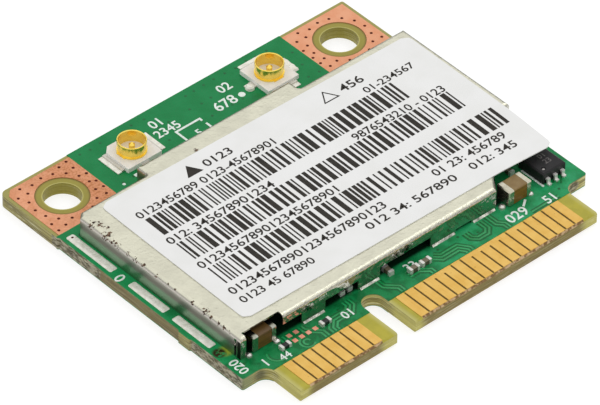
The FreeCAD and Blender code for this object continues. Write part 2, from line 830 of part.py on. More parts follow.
def two_terminal(name, x, y, sides, end_length, along="X", edge_bevel=0.0):
    """A ceramic block with a plated cap over each end, standing on the board.

    Returns the block and its two caps.
    """
    length, width, height = sides
    axis = 0 if along == "X" else 1
    plan = [length, width] if along == "X" else [width, length]
    core_sides = [f"{side} - 2 * plating_thickness" for side in (*plan, height)]
    core = block_on(f"{name}_block", x, y, f"{BOARD_TOP} + plating_thickness", core_sides)
    if edge_bevel:
        inner_bevel = edge_bevel - float(sheet.plating_thickness)
        core = bevelled(f"{name}_block_bevelled", core, inner_bevel, lambda box: True)
    caps = []
    for side in (-1, 1):
        cap_sides = [*plan, height]
        cap_sides[axis] = end_length
        centre = [x, y]
        centre[axis] = f"({centre[axis]} + {side} * (({length}) - ({end_length})) / 2)"
        cap = block_on(f"{name}_cap", *centre, BOARD_TOP, cap_sides)
        if edge_bevel:
            doc.recompute()
            mouth = cap.Shape.BoundBox.XMax if side < 0 else cap.Shape.BoundBox.XMin
            cap = bevelled(f"{name}_cap_bevelled", cap, edge_bevel,
                           lambda box, mouth=mouth: not (near(box.XMin, mouth) and near(box.XMax, mouth)))
        caps.append(cut(f"{name}_end", cap, core))
    return core, caps


def build_bulk_capacitors():
    """The two large ceramic capacitors beside the shield's front wall, with their solder."""
    bevel = float(sheet.bulk_edge_bevel)
    solder = []
    window_middle = f"({SHIELD_LEFT} + window_start + window_width / 2)"
    places = {
        "left": (window_middle, f"({SHIELD_FRONT} + bulk_left_behind_wall)"),
        "right": (f"({CUTOUT_LEFT} + bulk_right_from_cutout)", f"({SHIELD_FRONT} + bulk_right_behind_wall)"),
    }
    for name, (x, y) in places.items():
        sides = ("bulk_length", "bulk_width", "bulk_height")
        core, caps = two_terminal(f"bulk_{name}", x, y, sides, "bulk_end_length", edge_bevel=bevel)
        keep(core, f"bulk_capacitor_{name}")
        group(f"bulk_capacitor_ends_{name}", caps)
        for side, angle in ((-1, 180), (1, 0)):
            body = new_body("bulk_solder")
            half = "(bulk_width / 2 - bulk_solder_inset)"
            profile = polygon(
                sketch(body, "XZ_Plane", f"-{half}"),
                [("0", "0"), ("bulk_solder_reach", "0"), ("0", "bulk_solder_rise")],
            )
            pad(body, profile, f"2 * {half}")
            place(turn(body, angle), f"{x} + {side} * bulk_length / 2", y, BOARD_TOP)
            solder.append(body)
    group("bulk_capacitor_solder", solder)


def build_small_parts():
    """Chip resistors and capacitors along the front, and the rows of bare test pads."""
    behind_slot = f"({SHIELD_FRONT} + slot_capacitor_behind)"
    behind_gate = f"({SHIELD_FRONT} + gate_capacitor_behind)"
    beside_switch = f"({SHIELD_FRONT} + switch_capacitor_behind)"
    places = {
        "resistor": [
            (f"({SHIELD_LEFT} + resistor_a_right)", FRONT_ROW, "X"),
            (f"({SHIELD_LEFT} + resistor_b_right)", FRONT_ROW, "X"),
        ],
        "capacitor": [
            (f"({SHIELD_LEFT} + slot_capacitor_a_right)", behind_slot, "Y"),
            (f"({SHIELD_LEFT} + slot_capacitor_b_right)", behind_slot, "Y"),
            (f"({SHIELD_LEFT} + gate_capacitor_right)", behind_gate, "Y"),
            (f"({SHIELD_LEFT} + front_capacitor_a_right)", FRONT_ROW, "X"),
            (f"({SHIELD_LEFT} + front_capacitor_b_right)", FRONT_ROW, "X"),
            (f"({CUTOUT_LEFT} + switch_capacitor_from_cutout)", beside_switch, "Y"),
        ],
    }
    for kind, spots in places.items():
        sides = ("chip_length", "chip_width", f"{kind}_height")
        made = [two_terminal(f"small_{kind}", x, y, sides, "chip_end_length", along) for x, y, along in spots]
        group(f"small_{kind}_blocks", [core for core, caps in made])
        group(f"small_{kind}_ends", [cap for core, caps in made for cap in caps])

    size = ("test_pad_size", "test_pad_size", "test_pad_thickness")
    pads = []
    for row, count in enumerate(TEST_PAD_ROWS):
        y = f"({SHIELD_FRONT} - test_pad_gap - {row} * test_pad_pitch)"
        for step in range(count):
            x = f"({SHIELD_LEFT} + test_pad_right + {step} * test_pad_pitch)"
            pads.append(block_on("test_pad", x, y, BOARD_TOP, size))
    group("test_pads", pads)


def flat_chip(label, x, y, plan, height, chamfer):
    """A moulded chip with bevelled top edges."""
    body = new_body(label)
    outline = rectangle(sketch(body, "XY_Plane"), f"-{plan[0]} / 2", f"-{plan[1]} / 2", f"{plan[0]} / 2",
                        f"{plan[1]} / 2")
    pad(body, outline, height)
    ease(body, "Chamfer", top_edges(body.Shape), chamfer)
    place(body, x, y, BOARD_TOP)
    keep(body, label)


def build_inside():
    """What the shield covers: the radio chip, its clock crystal, two amplifiers, filters and a power coil."""
    flat_chip("radio_chip", RADIO_X, RADIO_Y, ("radio_size", "radio_size"), "radio_height",
              "radio_edge_chamfer")

    crystal_x = f"({RADIO_X} - radio_size / 2 - crystal_gap - crystal_width / 2)"
    keep(block_on("crystal_base", crystal_x, RADIO_Y, BOARD_TOP,
                  ("crystal_width", "crystal_length", "crystal_base_height")), "crystal_base")
    lid = new_body("crystal_lid")
    half_width = "(crystal_width / 2 - crystal_lid_inset)"
    half_length = "(crystal_length / 2 - crystal_lid_inset)"
    outline = rectangle(sketch(lid, "XY_Plane"), f"-{half_width}", f"-{half_length}", half_width, half_length)
    pad(lid, outline, "crystal_lid_height")
    ease(lid, "Fillet", upright_edges(lid.Shape, corners_of(outline)), "crystal_lid_corner")
    place(lid, crystal_x, RADIO_Y, f"{BOARD_TOP} + crystal_base_height")
    keep(lid, "crystal_lid")

    amplifier_x = f"({RADIO_X} + radio_size / 2 + amplifier_gap + amplifier_size / 2)"
    rows = {"front": f"({RADIO_Y} - amplifier_size / 2 - amplifier_gap / 2)",
            "back": f"({RADIO_Y} + amplifier_size / 2 + amplifier_gap / 2)"}
    filters = []
    for name, y in rows.items():
        plan = ("amplifier_size", "amplifier_size")
        flat_chip(f"amplifier_{name}", amplifier_x, y, plan, "amplifier_height", "radio_edge_chamfer")
        filter_x = f"({amplifier_x} + amplifier_size / 2 + filter_gap + filter_width / 2)"
        sides = ("filter_length", "filter_width", "filter_height")
        filters.append(two_terminal("filter", filter_x, y, sides, "chip_end_length", "Y"))
    group("filter_blocks", [core for core, caps in filters])
    group("filter_ends", [cap for core, caps in filters for cap in caps])

    coil = new_body("power_coil")
    outline = rectangle(sketch(coil, "XY_Plane"), "-inductor_length / 2", "-inductor_width / 2",
                        "inductor_length / 2", "inductor_width / 2")
    pad(coil, outline, "inductor_height")
    ease(coil, "Fillet", upright_edges(coil.Shape, corners_of(outline)), "inductor_corner")
    place(coil, RADIO_X, f"{RADIO_Y} + radio_size / 2 + inductor_gap + inductor_width / 2", BOARD_TOP)
    keep(coil, "power_coil")

    supply = ("chip_length", "chip_width", "capacitor_height")
    parts = []
    for step in range(SUPPLY_CAPACITORS):
        x = f"({RADIO_X} + {step - (SUPPLY_CAPACITORS - 1) / 2} * supply_pitch)"
        y = f"({RADIO_Y} - radio_size / 2 - supply_gap - chip_length / 2)"
        parts.append(two_terminal("supply", x, y, supply, "chip_end_length", "Y"))
    group("supply_capacitor_blocks", [core for core, caps in parts])
    group("supply_capacitor_ends", [cap for core, caps in parts for cap in caps])


def write_parts():
    """Stops on any failed object or broken solid, then writes one file for each sub-part."""
    doc.recompute()
    failed = [item.Label for item in doc.Objects if {"Invalid", "Error"} & set(item.State)]
    empty = [item.Label for item in nodes if item.Shape.isNull() or not item.Shape.Solids]
    broken = empty + [item.Label for item in nodes if not item.Shape.isValid()]
    if failed or broken:
        raise RuntimeError(f"failed {failed}, broken {broken}")
    os.makedirs("parts", exist_ok=True)
    for item in nodes:
        item.Shape.exportStep(f"parts/{item.Label}.step")
    print(f"{len(nodes)} sub-parts, {sum(len(item.Shape.Solids) for item in nodes)} solids")


build_board()
build_mask("solder_mask_top", "(mask_thickness + laminate_thickness)")
build_mask("solder_mask_bottom", "0")
build_contacts("edge_contacts_top", "mask_thickness + laminate_thickness", 0)
build_contacts("edge_contacts_bottom", "mask_thickness - copper_thickness", 0.5)
build_ground_pads("ground_pads_top", "mask_thickness + laminate_thickness")
build_ground_pads("ground_pads_bottom", "mask_thickness - copper_thickness")
build_shield()
build_shield_solder()
build_label()
build_sockets()
build_switch()
build_bulk_capacitors()
build_small_parts()
build_inside()
write_parts()
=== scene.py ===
import logging
import math
import random
from dataclasses import dataclass, field
from enum import Enum
from functools import cache, reduce
from operator import add, mul, or_
from typing import Any, Callable, Iterable, Mapping, Sequence

import bmesh
import bpy
from mathutils import Matrix, Vector
from mathutils.geometry import tessellate_polygon


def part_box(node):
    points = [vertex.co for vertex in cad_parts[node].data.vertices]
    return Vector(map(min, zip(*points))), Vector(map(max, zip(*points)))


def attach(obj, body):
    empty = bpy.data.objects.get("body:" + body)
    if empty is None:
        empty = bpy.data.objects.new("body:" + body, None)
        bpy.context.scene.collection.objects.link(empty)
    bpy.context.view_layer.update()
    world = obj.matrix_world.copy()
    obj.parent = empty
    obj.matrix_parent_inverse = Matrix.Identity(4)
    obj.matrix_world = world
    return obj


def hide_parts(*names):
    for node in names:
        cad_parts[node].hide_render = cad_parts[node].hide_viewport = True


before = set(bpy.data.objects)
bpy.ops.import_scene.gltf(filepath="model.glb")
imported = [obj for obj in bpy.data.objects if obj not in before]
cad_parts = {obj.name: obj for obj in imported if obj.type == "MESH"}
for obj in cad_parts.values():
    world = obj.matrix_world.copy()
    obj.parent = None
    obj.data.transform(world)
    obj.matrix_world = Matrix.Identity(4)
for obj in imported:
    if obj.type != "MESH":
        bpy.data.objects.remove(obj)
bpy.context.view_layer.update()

# A half-size wireless card. Sizes are millimetres in the card's own frame: the origin is the middle of
# the board on its underside, +X runs along the contacts, +Y towards the screw holes, +Z out of the top.

MM = 0.001
BODY = "root"
NODES: dict[str, bpy.types.Object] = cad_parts
PHOTO_WIDTH = 600
SENSOR_WIDTH = 36.0
LOG = logging.getLogger("wifi_card")

Colour = tuple[float, float, float, float]
Point = tuple[float, float]
Place = tuple[float, float, float]

# What several pieces share: the screw holes, the frayed stretches of the left wall, how far tracks and
# drops sink into what they lie on, and the points round a large drop.
SCREW_HOLE: Point = (12.1, 10.5)
BORE_RADIUS = 1.3
BARE_RADIUS = 1.825
FRAYED_SPANS: tuple[Point, ...] = ((3.6, 8.0), (-10.0, -5.4))
TRACK_SINK = 0.004
DROP_SINK = 0.003
DROP_SIDES = 20

# What the finishes share: even noise, its finer layers and its middle value, how much closer patches of
# gloss lie than patches of colour, and how level a face has to be to count as one.
EVEN: Place = (1.0, 1.0, 1.0)
FINE = 3.0
NOISE_MIDDLE = 0.5
GLOSS_PATCHES = 3
LEVEL_FACES: Point = (0.35, 0.8)
WHITE: Colour = (1.0, 1.0, 1.0, 1.0)


class Side(Enum):
    """The two ends of the card, as signs along X."""

    LEFT = -1
    RIGHT = 1


class Turn(Enum):
    """Which way print reads, in degrees anticlockwise from +X."""

    ALONG = 0.0
    UPWARDS = 90.0


@dataclass(frozen=True)
class Tint:
    """A colour as seen on a screen, and how fully it covers what lies under it."""

    red: int
    green: int
    blue: int
    share: float = 1.0

    @property
    def colour(self) -> Colour:
        """The linear colour with full alpha."""
        return (*map(self.linear, (self.red, self.green, self.blue)), 1.0)

    @staticmethod
    def linear(part: int) -> float:
        """One channel, from 0 to 255 on a screen, as a share of light."""
        share = part / 255
        return share / 12.92 if share <= 0.04045 else ((share + 0.055) / 1.055) ** 2.4


def smooth(value: float, low: float, high: float) -> float:
    """Eases from 0 where a value is low to 1 where it is high."""
    share = min(max((value - low) / (high - low), 0.0), 1.0)
    return share * share * (3 - 2 * share)


def ring_of(centre: Point, radius: float, count: int, start: float = 0.0) -> list[Point]:
    """Evenly spaced points on a circle, anticlockwise from an angle in degrees."""
    angles = [math.radians(start) + math.tau * step / count for step in range(count)]
    return [(centre[0] + radius * math.cos(a), centre[1] + radius * math.sin(a)) for a in angles]


@dataclass(frozen=True)
class Box:
    """A box in millimetres."""

    low: Vector
    high: Vector

    @classmethod
    def of(cls, node: str) -> "Box":
        """The box that a CAD node fills."""
        low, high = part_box(node)
        return cls(low / MM, high / MM)

    @property
    def middle(self) -> Vector:
        """The middle of the box."""
        return (self.low + self.high) / 2


@dataclass(frozen=True)
class Ribs:
    """How a solder pad is ribbed and rounded. Places across it run from -1 to 1."""

    height: float
    pitch: float
    start: float = -2.0
    fade: float = 0.6
    rim: float = 0.01
    pinch: float = 0.07
    pinch_length: float = 0.1
    end_rise: Point = (-0.05, 0.16)
    flatness: int = 6
    wander: float = 0.5
    wander_rate: float = 3.1
    columns: int = 13
    row_length: float = 0.04

    def level(self, y: float, across: float, phase: float) -> float:
        """How far a spot lies below the top of the ribs, as a negative height.

        Args:
            y: Place along the pad.
            across: Place across the pad.
            phase: Where the first rib is, as an angle.

        Returns:
            The height.
        """
        stray = self.wander * math.sin(self.wander_rate * y + across)
        wave = 0.5 + 0.5 * math.sin(math.tau * y / self.pitch + phase + stray)
        return (wave - 1) * self.height * smooth(across, self.start, self.start + self.fade)


class Solids:
    """Closed solids in millimetres that share one mesh."""

    CAP = ((1.0, 0.0), (0.86, 0.55), (0.55, 0.88), (0.2, 1.0))
    SHARPEST_MITRE = 0.5
    FIGURE_DEPTH = 0.5
    FIGURE_WEIGHT = 0.012
    FIGURE_STEPS = 3
    WELD = 1e-5

    def __init__(self) -> None:
        """Starts with no solid."""
        self.bm = bmesh.new()

    def loft(self, rings: Sequence[Sequence[Place]]) -> None:
        """Joins rings of equally many points and closes both ends.

        Args:
            rings: The rings in order, each going round the same way.
        """
        made = [[self.bm.verts.new(point) for point in ring] for ring in rings]
        self.bm.faces.new(made[0][::-1])
        self.bm.faces.new(made[-1])
        for under, over in zip(made, made[1:]):
            for step in range(len(under)):
                following = (step + 1) % len(under)
                self.bm.faces.new((under[step], under[following], over[following], over[step]))

    def prism(self, outline: Sequence[Point], bottom: float, top: float,
              holes: Sequence[Sequence[Point]] = ()) -> None:
        """An upright plate with any outline and any holes.

        Args:
            outline: Corners of the plate.
            bottom: Level of its lower face.
            top: Level of its upper face.
            holes: Corners of each hole.
        """
        loops = [list(outline), *[list(hole) for hole in holes]]
        triangles = tessellate_polygon([[Vector((x, y, 0)) for x, y in loop] for loop in loops])
        flat = [point for loop in loops for point in loop]
        under = [self.bm.verts.new((x, y, bottom)) for x, y in flat]
        over = [self.bm.verts.new((x, y, top)) for x, y in flat]
        for corners in triangles:
            self.bm.faces.new([over[index] for index in corners])
            self.bm.faces.new([under[index] for index in reversed(corners)])
        first = 0
        for loop in loops:
            for step in range(len(loop)):
                here, there = first + step, first + (step + 1) % len(loop)
                self.bm.faces.new((under[here], under[there], over[there], over[here]))
            first += len(loop)

    def bar(self, low: Point, high: Point, bottom: float, top: float, steps: int = 1) -> None:
        """A straight bar, cut across its length so that it can follow a bend.

        Args:
            low: Corner with the least x and y.
            high: Corner with the most x and y.
            bottom: Level of its lower face.
            top: Level of its upper face.
            steps: How many lengths it is cut into along Y.
        """
        rings = []
        for step in range(steps + 1):
            y = low[1] + (high[1] - low[1]) * step / steps
            rings.append([(low[0], y, bottom), (low[0], y, top), (high[0], y, top), (high[0], y, bottom)])
        self.loft(rings)

    def track(self, route: Sequence[Point], width: float, bottom: float, top: float,
              offset: float = 0.0) -> None:
        """A flat strip along a bent route, with mitred corners.

        Args:
            route: Points along its middle.
            width: Its width.
            bottom: Level of its lower face.
            top: Level of its upper face.
            offset: How far to the left of the route it runs.
        """
        points = [Vector(point) for point in route]
        ways = [(b - a).normalized() for a, b in zip(points, points[1:])]
        rings = []
        for index, point in enumerate(points):
            before = ways[max(index - 1, 0)]
            after = ways[min(index, len(ways) - 1)]
            way = (before + after).normalized()
            aside = Vector((-way.y, way.x)) / max(way.dot(before), self.SHARPEST_MITRE)
            left, right = point + aside * (offset + width / 2), point + aside * (offset - width / 2)
            rings.append([(*left, bottom), (*left, top), (*right, top), (*right, bottom)])
        self.loft(rings)

    def dome(self, centre: Point, radius: float, bottom: float, rise: float, sides: int = 14) -> None:
        """A low round cap on a foot with a centre, a radius and a level."""
        self.loft([[(x, y, bottom + rise * up) for x, y in ring_of(centre, radius * share, sides)]
                   for share, up in self.CAP])

    def slab(self, upper: Sequence[Sequence[Place]], lower: Sequence[Sequence[Place]]) -> None:
        """A sheet between two grids of points that have the same rim.

        Args:
            upper: Rows of points of the upper face.
            lower: Rows of points of the lower face.
        """
        tops = [[self.bm.verts.new(point) for point in row] for row in upper]
        unders = [[self.bm.verts.new(point) for point in row] for row in lower]
        rows, columns = len(tops), len(tops[0])
        for row in range(rows - 1):
            for column in range(columns - 1):
                for grid, order in ((tops, 1), (unders, -1)):
                    corners = (grid[row][column], grid[row][column + 1],
                               grid[row + 1][column + 1], grid[row + 1][column])
                    self.bm.faces.new(corners[::order])
        rim = [(0, c) for c in range(columns - 1)]
        rim += [(r, columns - 1) for r in range(rows - 1)]
        rim += [(rows - 1, c) for c in range(columns - 1, 0, -1)]
        rim += [(r, 0) for r in range(rows - 1, 0, -1)]
        for (r, c), (next_r, next_c) in zip(rim, rim[1:] + rim[:1]):
            self.bm.faces.new((unders[r][c], unders[next_r][next_c], tops[next_r][next_c], tops[r][c]))

    def ribbed(self, low: Point, high: Point, levels: Point, ribs: Ribs, phase: float) -> None:
        """A solder pad with rounded ends and ribs across its length.

        Args:
            low: Corner with the least x and y.
            high: Corner with the most x and y.
            levels: Levels of its underside and of its highest rib.
            ribs: How it is ribbed and rounded.
            phase: Where the first rib is, as an angle.
        """
        rows = round((high[1] - low[1]) / ribs.row_length)
        rim = levels[0] + ribs.rim
        upper, lower = [], []
        for row in range(rows + 1):
            y = low[1] + (high[1] - low[1]) * row / rows
            end = min(row, rows - row) * ribs.row_length
            half = (high[0] - low[0]) / 2 - ribs.pinch * (1 - smooth(end, 0.0, ribs.pinch_length))
            over, under = [], []
            for column in range(ribs.columns):
                across = 2 * column / (ribs.columns - 1) - 1
                crown = (1 - abs(across) ** ribs.flatness) * smooth(end, *ribs.end_rise)
                x = (low[0] + high[0]) / 2 + across * half
                over.append((x, y, rim + (levels[1] - rim + ribs.level(y, across, phase)) * crown))
                under.append((x, y, levels[0]))
            upper.append(over)
            lower.append(under)
        self.slab(upper, lower)

    def digits(self, words: str, low: Point, high: Point, bottom: float, top: float,
               turn: Turn = Turn.ALONG, fill: bool = False) -> None:
        """Plain figures as high as a rectangle, in its middle and no wider than it.

        Args:
            words: The figures.
            low: Rectangle's corner with the least x and y.
            high: Rectangle's corner with the most x and y.
            bottom: Level of the print's foot.
            top: Level of the print's face.
            turn: Which way the figures read.
            fill: Whether they are stretched to the rectangle's whole length.
        """
        curve = bpy.data.curves.new("figures", "FONT")
        curve.body = words
        curve.extrude = self.FIGURE_DEPTH
        curve.offset = self.FIGURE_WEIGHT
        curve.resolution_u = self.FIGURE_STEPS
        helper = bpy.data.objects.new("figures", curve)
        mesh = bpy.data.meshes.new_from_object(helper)
        figures = bmesh.new()
        figures.from_mesh(mesh)
        bmesh.ops.remove_doubles(figures, verts=figures.verts[:], dist=self.WELD)
        bmesh.ops.dissolve_degenerate(figures, dist=self.WELD, edges=figures.edges[:])
        figures.transform(Matrix.Rotation(math.radians(turn.value), 4, "Z"))
        spots = [vert.co for vert in figures.verts]
        least = Vector([min(spot[axis] for spot in spots) for axis in range(3)])
        most = Vector([max(spot[axis] for spot in spots) for axis in range(3)])
        room = Vector((high[0] - low[0], high[1] - low[1], top - bottom))
        size = most - least
        up, across = (0, 1) if turn is Turn.UPWARDS else (1, 0)
        scale = Vector((1.0, 1.0, room.z / size.z))
        scale[up] = room[up] / size[up]
        scale[across] = room[across] / size[across]
        if not fill:
            scale[across] = min(scale[up], scale[across])
        middle = Vector(((low[0] + high[0]) / 2, (low[1] + high[1]) / 2, (bottom + top) / 2))
        for vert in figures.verts:
            vert.co = middle + (vert.co - (least + most) / 2) * scale
        figures.to_mesh(mesh)
        self.bm.from_mesh(mesh)
        figures.free()
        bpy.data.objects.remove(helper)
        bpy.data.curves.remove(curve)
        bpy.data.meshes.remove(mesh)

    def bend(self, place: Callable[[Vector], Vector]) -> None:
        """Moves every point to the place that a rule gives."""
        for vert in self.bm.verts:
            vert.co = place(vert.co)

    def piece(self, name: str, finish: "Finish", slot: str, replaces: Iterable[str] = ()) -> None:
        """Makes the finished piece and lets it ride on the card.

        Args:
            name: The piece's name.
            finish: What it is made of.
            slot: Not used.
            replaces: CAD nodes that it stands for.
        """
        bmesh.ops.recalc_face_normals(self.bm, faces=self.bm.faces[:])
        mesh = bpy.data.meshes.new(name)
        self.bm.to_mesh(mesh)
        self.bm.free()
        mesh.transform(Matrix.Scale(MM, 4))
        mesh.materials.append(finish.material())
        made = bpy.data.objects.new(name, mesh)
        bpy.context.scene.collection.objects.link(made)
        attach(made, BODY)
        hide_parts(*replaces)
        LOG.info("%s: %d faces", name, len(mesh.polygons))


def math_operator(kind: str, swapped: bool = False) -> Callable[..., "Signal"]:
    """Makes a Python operator that adds a Math node.

    Args:
        kind: The node's operation.
        swapped: Whether the signal comes second, as in a reflected form.

    Returns:
        The operator.
    """

    def apply(signal: "Signal", other: Any = 0.0) -> "Signal":
        """The node's result."""
        first, second = (other, signal) if swapped else (signal, other)
        return signal.shader.node("Math", {"operation": kind}, {0: first, 1: second})

    return apply


class Signal:
    """A node's output that takes part in shader maths. The larger of two masks joins them."""

    __add__ = math_operator("ADD")
    __radd__ = math_operator("ADD", swapped=True)
    __sub__ = math_operator("SUBTRACT")
    __rsub__ = math_operator("SUBTRACT", swapped=True)
    __mul__ = math_operator("MULTIPLY")
    __rmul__ = math_operator("MULTIPLY", swapped=True)
    __or__ = math_operator("MAXIMUM")
    __ror__ = math_operator("MAXIMUM", swapped=True)
    __abs__ = math_operator("ABSOLUTE")

    def __init__(self, shader: "Shader", socket: bpy.types.NodeSocket | None) -> None:
        """Keeps the output and the shader that it belongs to."""
        self.shader = shader
        self.socket = socket

    def step(self, low: float, high: float) -> "Signal":
        """Eases from 0 where this is low to 1 where it is high.

        Args:
            low: Value that gives 0. It may be the larger one.
            high: Value that gives 1.

        Returns:
            The mask.
        """
        least, most = sorted((low, high))
        inputs = {"Value": self, "From Min": least, "From Max": most,
                  "To Min": float(low > high), "To Max": float(low < high)}
        return self.shader.node("MapRange", {"interpolation_type": "SMOOTHSTEP"}, inputs)

    def between(self, low: float, high: float, edge: float) -> "Signal":
        """A mask that is 1 from low to high and fades over an edge outside them."""
        return self.step(low - edge, low) * self.step(high + edge, high)


class Shader:
    """The nodes of one material or of the surroundings."""

    def __init__(self, owner: bpy.types.Material | bpy.types.World) -> None:
        """Starts with no nodes.

        Args:
            owner: The material or the surroundings.
        """
        owner.use_nodes = True
        self.tree = owner.node_tree
        self.tree.nodes.clear()

    def node(self, kind: str, settings: Mapping[str, Any] | None = None,
             inputs: Mapping[str | int, Any] | None = None, output: str | int = 0) -> Signal:
        """Adds a node, sets it up, then fills or links its sockets.

        Args:
            kind: The node's type without its prefix.
            settings: The node's own settings.
            inputs: Values or signals by socket.
            output: Which output is wanted.

        Returns:
            That output.
        """
        made = self.tree.nodes.new(f"ShaderNode{kind}")
        for name, value in (settings or {}).items():
            setattr(made, name, value)
        for name, value in (inputs or {}).items():
            if isinstance(value, Signal):
                self.tree.links.new(value.socket, made.inputs[name])
            else:
                made.inputs[name].default_value = value
        return Signal(self, made.outputs[output] if made.outputs else None)

    @cache
    def spot(self) -> Signal:
        """Where the surface is, in millimetres."""
        metres = self.node("TexCoord", output="Object")
        return self.node("VectorMath", {"operation": "SCALE"}, {0: metres, "Scale": 1 / MM})

    def stretched(self, factors: Place) -> Signal:
        """Where the surface is, with each axis multiplied by its factor."""
        return self.node("VectorMath", {"operation": "MULTIPLY"}, {0: self.spot(), 1: factors})

    @cache
    def along(self, axis: str) -> Signal:
        """One coordinate of the surface in millimetres."""
        return self.node("SeparateXYZ", inputs={0: self.spot()}, output=axis)

    @cache
    def normal(self, axis: str) -> Signal:
        """One coordinate of the way the surface faces."""
        return self.node("SeparateXYZ", inputs={0: self.node("NewGeometry", output="Normal")}, output=axis)

    @cache
    def facing_up(self) -> Signal:
        """1 on level faces, 0 on walls."""
        return abs(self.normal("Z")).step(*LEVEL_FACES)

    @cache
    def noise(self, scale: float, detail: float = 2.0, stretch: Place = EVEN) -> Signal:
        """Cloudy noise about 0.5, with so many patches per millimetre and so many finer layers."""
        inputs = {"Vector": self.stretched(stretch), "Scale": scale, "Detail": detail}
        return self.node("TexNoise", inputs=inputs)

    def blend(self, share: Signal, first: Any, second: Any) -> Signal:
        """Mixes two colours by the share of the second."""
        sides = [tone.colour if isinstance(tone, Tint) else tone for tone in (first, second)]
        return self.node("Mix", {"data_type": "RGBA"}, {0: share, 6: sides[0], 7: sides[1]}, 2)

    def coats(self, base: Any, *layers: tuple[Signal, Any]) -> Any:
        """Lays colours over a base, one after the other.

        Args:
            base: What lies lowest.
            layers: A mask and a colour for each layer.

        Returns:
            The colour of them all.
        """
        for mask, tone in layers:
            whole = not isinstance(tone, Tint) or tone.share == 1
            base = self.blend(mask if whole else mask * tone.share, base, tone)
        return base

    def within(self, low: Sequence[float], high: Sequence[float], edge: float) -> Signal:
        """A mask that is 1 between two corners and fades over an edge outside them."""
        return reduce(mul, [self.along(axis).between(*ends, edge) for axis, *ends in zip("XYZ", low, high)])

    def spans(self, axis: str, ranges: Iterable[Point], edge: float) -> Signal:
        """A mask that is 1 in any of some ranges along an axis and fades over an edge outside them."""
        return reduce(or_, [self.along(axis).between(low, high, edge) for low, high in ranges])

    def surface(self, inputs: Mapping[str, Any]) -> None:
        """Ends the material in one principled surface."""
        self.node("OutputMaterial", inputs={"Surface": self.node("BsdfPrincipled", inputs=inputs)})


@dataclass(frozen=True)
class Spot:
    """A round mask: full within its core, gone at its reach."""

    centre: Place
    reach: float
    core: float

    def on(self, shader: Shader) -> Signal:
        """The mask on a surface."""
        ends = {0: shader.spot(), 1: self.centre}
        return shader.node("VectorMath", {"operation": "DISTANCE"}, ends, "Value").step(self.reach, self.core)


@dataclass(frozen=True)
class Pattern:
    """Patches of noise that ease from none to their full share."""

    scale: float
    detail: float = 2.0
    ease: Point = (0.3, 0.7)
    stretch: Place = EVEN
    share: float = 1.0

    def on(self, shader: Shader) -> Signal:
        """The patches on a surface."""
        patches = shader.noise(self.scale, self.detail, self.stretch).step(*self.ease)
        return patches if self.share == 1 else patches * self.share


@dataclass(frozen=True)
class Relief:
    """Noise that raises a surface to a height, as a share of the finish's own relief."""

    scale: float
    height: float
    detail: float = 2.0
    stretch: Place = EVEN

    def on(self, shader: Shader) -> Signal:
        """The height over a surface."""
        return shader.noise(self.scale, self.detail, self.stretch) * self.height


@dataclass(frozen=True)
class Finish:
    """A finish in two tones with uneven gloss and a fine grain."""

    name: str
    tone: Tint
    second: Tint
    patches: float = 1.5
    grain: float = 18.0
    roughness: float = 0.5
    unevenness: float = 0.12
    metallic: float = 0.0
    specular: float = 0.5
    relief: float = 0.006

    @cache
    def material(self) -> bpy.types.Material:
        """Makes the material the first time that it is asked for.

        Returns:
            The material.
        """
        made = bpy.data.materials.new(self.name)
        shader = Shader(made)
        height = {"Strength": 1.0, "Distance": self.relief * MM, "Height": self.height(shader)}
        shader.surface({
            "Base Color": self.colour(shader),
            "Roughness": self.gloss(shader),
            "Metallic": self.metal(shader),
            "Specular IOR Level": self.specular,
            "Normal": shader.node("Bump", inputs=height),
        })
        return made

    def patchy(self, shader: Shader) -> Signal:
        """Soft patches of the two tones."""
        return shader.blend(Pattern(self.patches, FINE).on(shader), self.tone, self.second)

    def uneven(self, shader: Shader) -> Signal:
        """How much rougher or smoother each patch is."""
        return self.unevenness * (shader.noise(self.patches * GLOSS_PATCHES) - NOISE_MIDDLE)

    def colour(self, shader: Shader) -> Signal:
        """What colour it is."""
        return self.patchy(shader)

    def gloss(self, shader: Shader) -> Signal:
        """Roughness that varies a little."""
        return self.roughness + self.uneven(shader)

    def metal(self, shader: Shader) -> Any:
        """How metallic it is."""
        return self.metallic

    def height(self, shader: Shader) -> Signal:
        """Fine grain."""
        return shader.noise(self.grain, FINE)


